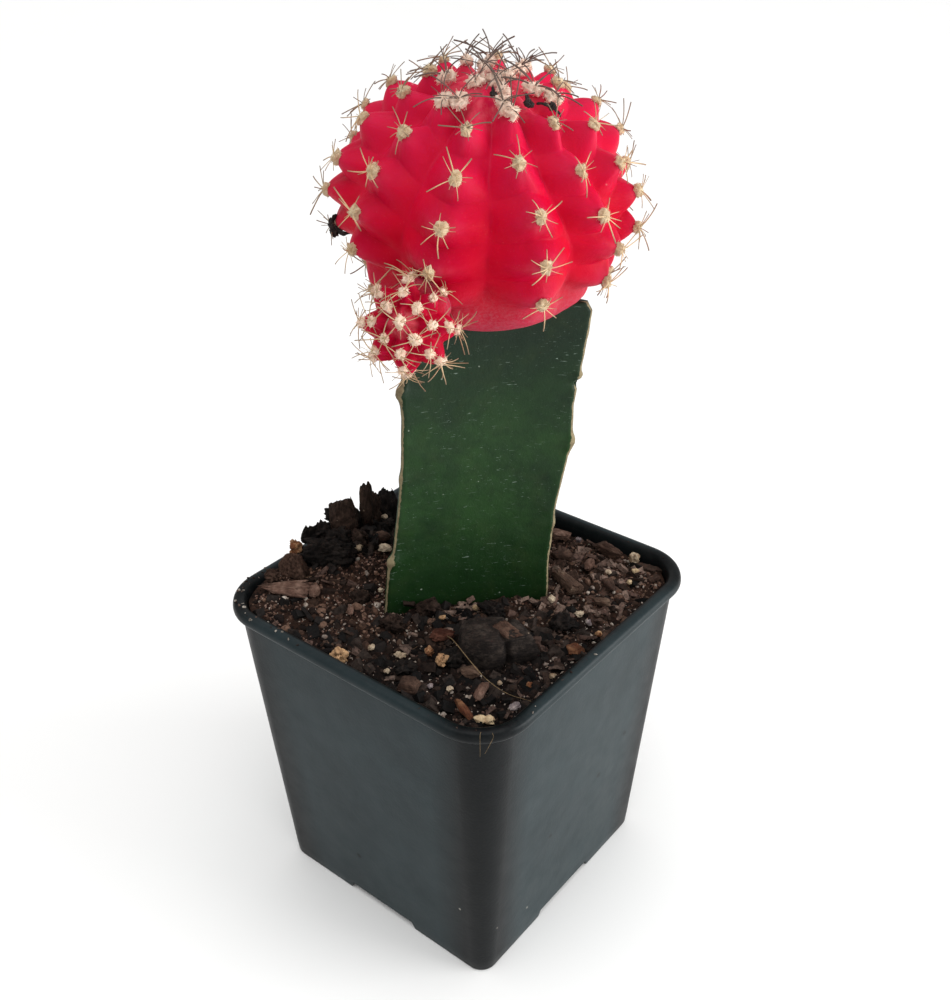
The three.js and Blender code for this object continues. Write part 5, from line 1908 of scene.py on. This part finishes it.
# Dried flower remains on the ball, in tufts: azimuth, latitude, length, width, lift, how many
# withered petals there are, how far they lean and how far they are turned.
REMNANTS = {
    "flower_remnant_side": [(-84, -17, 3.0, 3.4, -0.1, 3, 1.45, 0.5)],
    "flower_remnant_top": [
        (40, 71, 2.6, 1.4, 0.4, 1, 1.1, 2.6),
        (58, 66, 2.6, 1.2, 0.3, 2, 1.3, 0.4),
        (2, 78, 1.9, 1.0, 0.4, 1, 0.5, 2.3),
    ],
}


def remnant_finish():
    """Shrivelled flower tissue, nearly black, with brown fibres."""
    f = Finish("dried_remnant", Specular_IOR_Level=0.3)
    grain = f.effect("grain", Place=f.own_place(), Width=0.14, Length=1.2)
    body = f.mix(grain, paint("120f10"), paint("3a2f2d"))
    body = f.tint(body, f.effect("mottle", Size=0.9, Low=0.55, High=0.8), "6b5a4c")
    f.coat(body, f.fit(grain, 0.0, 1.0, 0.9, 0.7))
    f.bump(f.effect("grain", output="Height", Place=f.own_place(), Width=0.14, Length=1.2), 0.15)
    return f.material


def withered_petal(length, width, curl, seed):
    """A thin crumpled strip that stands up Z and curls towards X, as a closed skin."""
    rows, across = 14, 6
    rings = []
    for i in range(rows + 1):
        t = i / rows
        half = width / 2 * (0.35 + 0.65 * sin(pi * min(1, t * 0.8 + 0.12))) * (1 - 0.55 * t**3)
        angle = curl * t
        centre = np.array([length * t * sin(angle) * 0.7, 0, length * t * cos(angle * 0.7)])
        ring = []
        for side in (1, -1):
            for j in range(across):
                s = side * (1 - 2 * j / across)
                crease = 0.22 * width * cos(s * 4.0 + seed) * t
                thick = side * 0.1 * (1 - s * s * 0.7)
                ring.append(centre + np.array([crease + thick, half * s, 0.12 * sin(9 * s + seed + 5 * t)]))
        rings.append(ring)
    points, faces = loft(rings)
    shift = Vector((seed, 0, 0))
    crumple = np.array([noise.noise_vector(Vector(p) * 1.4 + shift) for p in points])
    return points + 0.1 * crumple, faces


def remnant_tuft(azimuth, latitude, length, width, lift, petals, lean, twist, seed):
    """A tuft of withered petals round a shrivelled core, with its points in its own place."""
    spot = spot_on(BALL, azimuth, latitude)
    turn = np.array(Vector((0, 0, 1)).rotation_difference(Vector(spot.out)).to_matrix())
    parts = []
    for i in range(petals):
        shape = length * (0.7 + 0.12 * (i % 3)), width * (0.5 + 0.14 * (i % 2)), 0.5 + 0.3 * (i % 3)
        points, faces = withered_petal(*shape, i + seed)
        spin = Matrix.Rotation(i * tau / petals + twist, 3, "Z")
        tilt = Matrix.Rotation(lean + 0.16 * (i % 3), 3, "Y")
        parts.append((points @ np.array(spin @ tilt).T, faces))
    core, core_faces, _ = broken_piece("husk", (width * 0.9, width * 0.8, length * 0.4), 90 + seed)
    parts.append((core + np.array([0, 0, 0.2]), core_faces))
    points, faces = joined(parts)
    return points, points @ turn.T + spot.place + spot.out * lift, faces


def make_remnants():
    material = remnant_finish()
    for count, (name, tufts) in enumerate(REMNANTS.items()):
        made = [remnant_tuft(*tuft, 7 * count + i) for i, tuft in enumerate(tufts)]
        placed, faces = joined([(there, faces) for _, there, faces in made])
        remnant = piece_from(name + "_piece", placed, faces, material)
        facing_out(remnant.data)
        remnant.data.shade_smooth()
        own_place = np.roll(np.vstack([here for here, _, _ in made]), -2, axis=1)
        mark(remnant.data, "own", own_place, "FLOAT_VECTOR")
        own(remnant, "dried_remnant", name)


# ---- Grains caught on the pot's lip -----------------------------------------------------------
def lip_share(points):
    """Grains lie along the lip, most of them at the corner beside the heap."""
    corner = np.exp(-((points[:, 0] + 28) ** 2 + (points[:, 1] + 25) ** 2) / 110)
    return 0.05 + 2.4 * corner + 0.25 * np.exp(-((points[:, 0] - 28) ** 2 + (points[:, 1] + 26) ** 2) / 60)


def make_lip_grains():
    """A few crumbs of the mix on top of the lip."""
    lip = [
        square_ring(POT["neck_half"] + out, POT["neck_corner"] + growth, POT["height"] + under)
        for out, growth, under in LIP_TOP
    ]
    points = np.vstack(lip)
    mesh = patch(points, strips(len(lip), len(lip[0])), lip_share(points))
    finish = crumb_finish("lip_crumbs", ["2b1d17", "5a4a42", "857c73", "a49c92"])
    own(grown(
        "lip_crumbs", "grains", mesh, finish,
        Density=0.55 * PER_MM2, Smallest=[v * MM for v in (0.07, 0.07, 0.06)],
        Largest=[v * MM for v in (0.42, 0.36, 0.3)], Break=0.3, Seed=4,
    ), "potting_mix")


# ---- Floor, light and camera ------------------------------------------------------------------
FLOOR = 30.0  # half the width of the floor, in metres
SKY = 0.56  # strength of the sky as a light; behind the plant it is white
CAMERA = {
    "place": (111.749, -134.212, 186.760),
    "azimuth": 38.809,
    "elevation": 31.075,
    "roll": -0.469,
    "lens": 41.985,  # for a sensor 36 wide on the longer side
}


def make_floor():
    f = Finish("studio_floor")
    f.coat(f.mix(f.clouds(400.0), paint("f6f6f5"), paint("fafaf9")), f.uneven(30.0, 0.55, 0.65))
    mesh = bpy.data.meshes.new("studio_floor")
    corners = [(x * FLOOR, y * FLOOR, 0) for x, y in ((-1, -1), (1, -1), (1, 1), (-1, 1))]
    mesh.from_pydata(corners, [], [(0, 1, 2, 3)])
    mesh.materials.append(f.material)
    floor = bpy.data.objects.new("studio_floor", mesh)
    bpy.context.scene.collection.objects.link(floor)


def make_light(name, kind, place, target, strength, **settings):
    lamp = bpy.data.lights.new(name, kind)
    lamp.energy = strength
    for key, value in settings.items():
        setattr(lamp, key, value)
    obj = bpy.data.objects.new(name, lamp)
    obj.location = place
    obj.rotation_euler = (Vector(target) - Vector(place)).to_track_quat("-Z", "Y").to_euler()
    bpy.context.scene.collection.objects.link(obj)


def make_studio():
    world = bpy.data.worlds.new("studio")
    world.use_nodes = True
    tree = world.node_tree
    background = tree.nodes["Background"]
    background.inputs["Color"].default_value = (1, 1, 1, 1)
    seen = add(tree, "ShaderNodeLightPath").outputs["Is Camera Ray"]
    plug(tree, background.inputs["Strength"], fit(tree, seen, 0.0, 1.0, SKY, 1.0))
    bpy.context.scene.world = world
    bpy.context.scene.view_settings.view_transform = "Standard"
    middle = (0, 0, 0.08)
    make_light("skylight", "SUN", (0.15, -0.15, 1.0), middle, 1.8, angle=radians(70))
    make_light("softbox_right", "AREA", (0.6, 0.3, 0.12), (0, 0, 0.05), 4.9, size=0.4)


def make_camera():
    azimuth, elevation, roll = (radians(CAMERA[key]) for key in ("azimuth", "elevation", "roll"))
    back = Vector((sin(azimuth) * cos(elevation), -cos(azimuth) * cos(elevation), sin(elevation)))
    level = Vector((cos(azimuth), sin(azimuth), 0))
    up = back.cross(level)
    right = level * cos(roll) + up * sin(roll)
    top = up * cos(roll) - level * sin(roll)
    lens = bpy.data.cameras.new("camera")
    lens.lens, lens.sensor_width = CAMERA["lens"], 36
    lens.clip_start, lens.clip_end = 0.005, 100
    camera = bpy.data.objects.new("camera", lens)
    facing = Matrix((right, top, back)).transposed().to_4x4()
    camera.matrix_world = Matrix.Translation(Vector(CAMERA["place"]) * MM) @ facing
    bpy.context.scene.collection.objects.link(camera)
    bpy.context.scene.camera = camera


# ---- Building ---------------------------------------------------------------------------------
make_camera()
make_studio()
make_floor()
make_pot()
mix_rings = soil_surface()
make_soil(mix_rings)
strew_mix(mix_rings)
make_bits()
make_strands()
make_lip_grains()
flesh_points, flesh_faces = make_ball()
make_stem(flesh_points, flesh_faces)
make_pup()
make_areoles()
make_remnants()
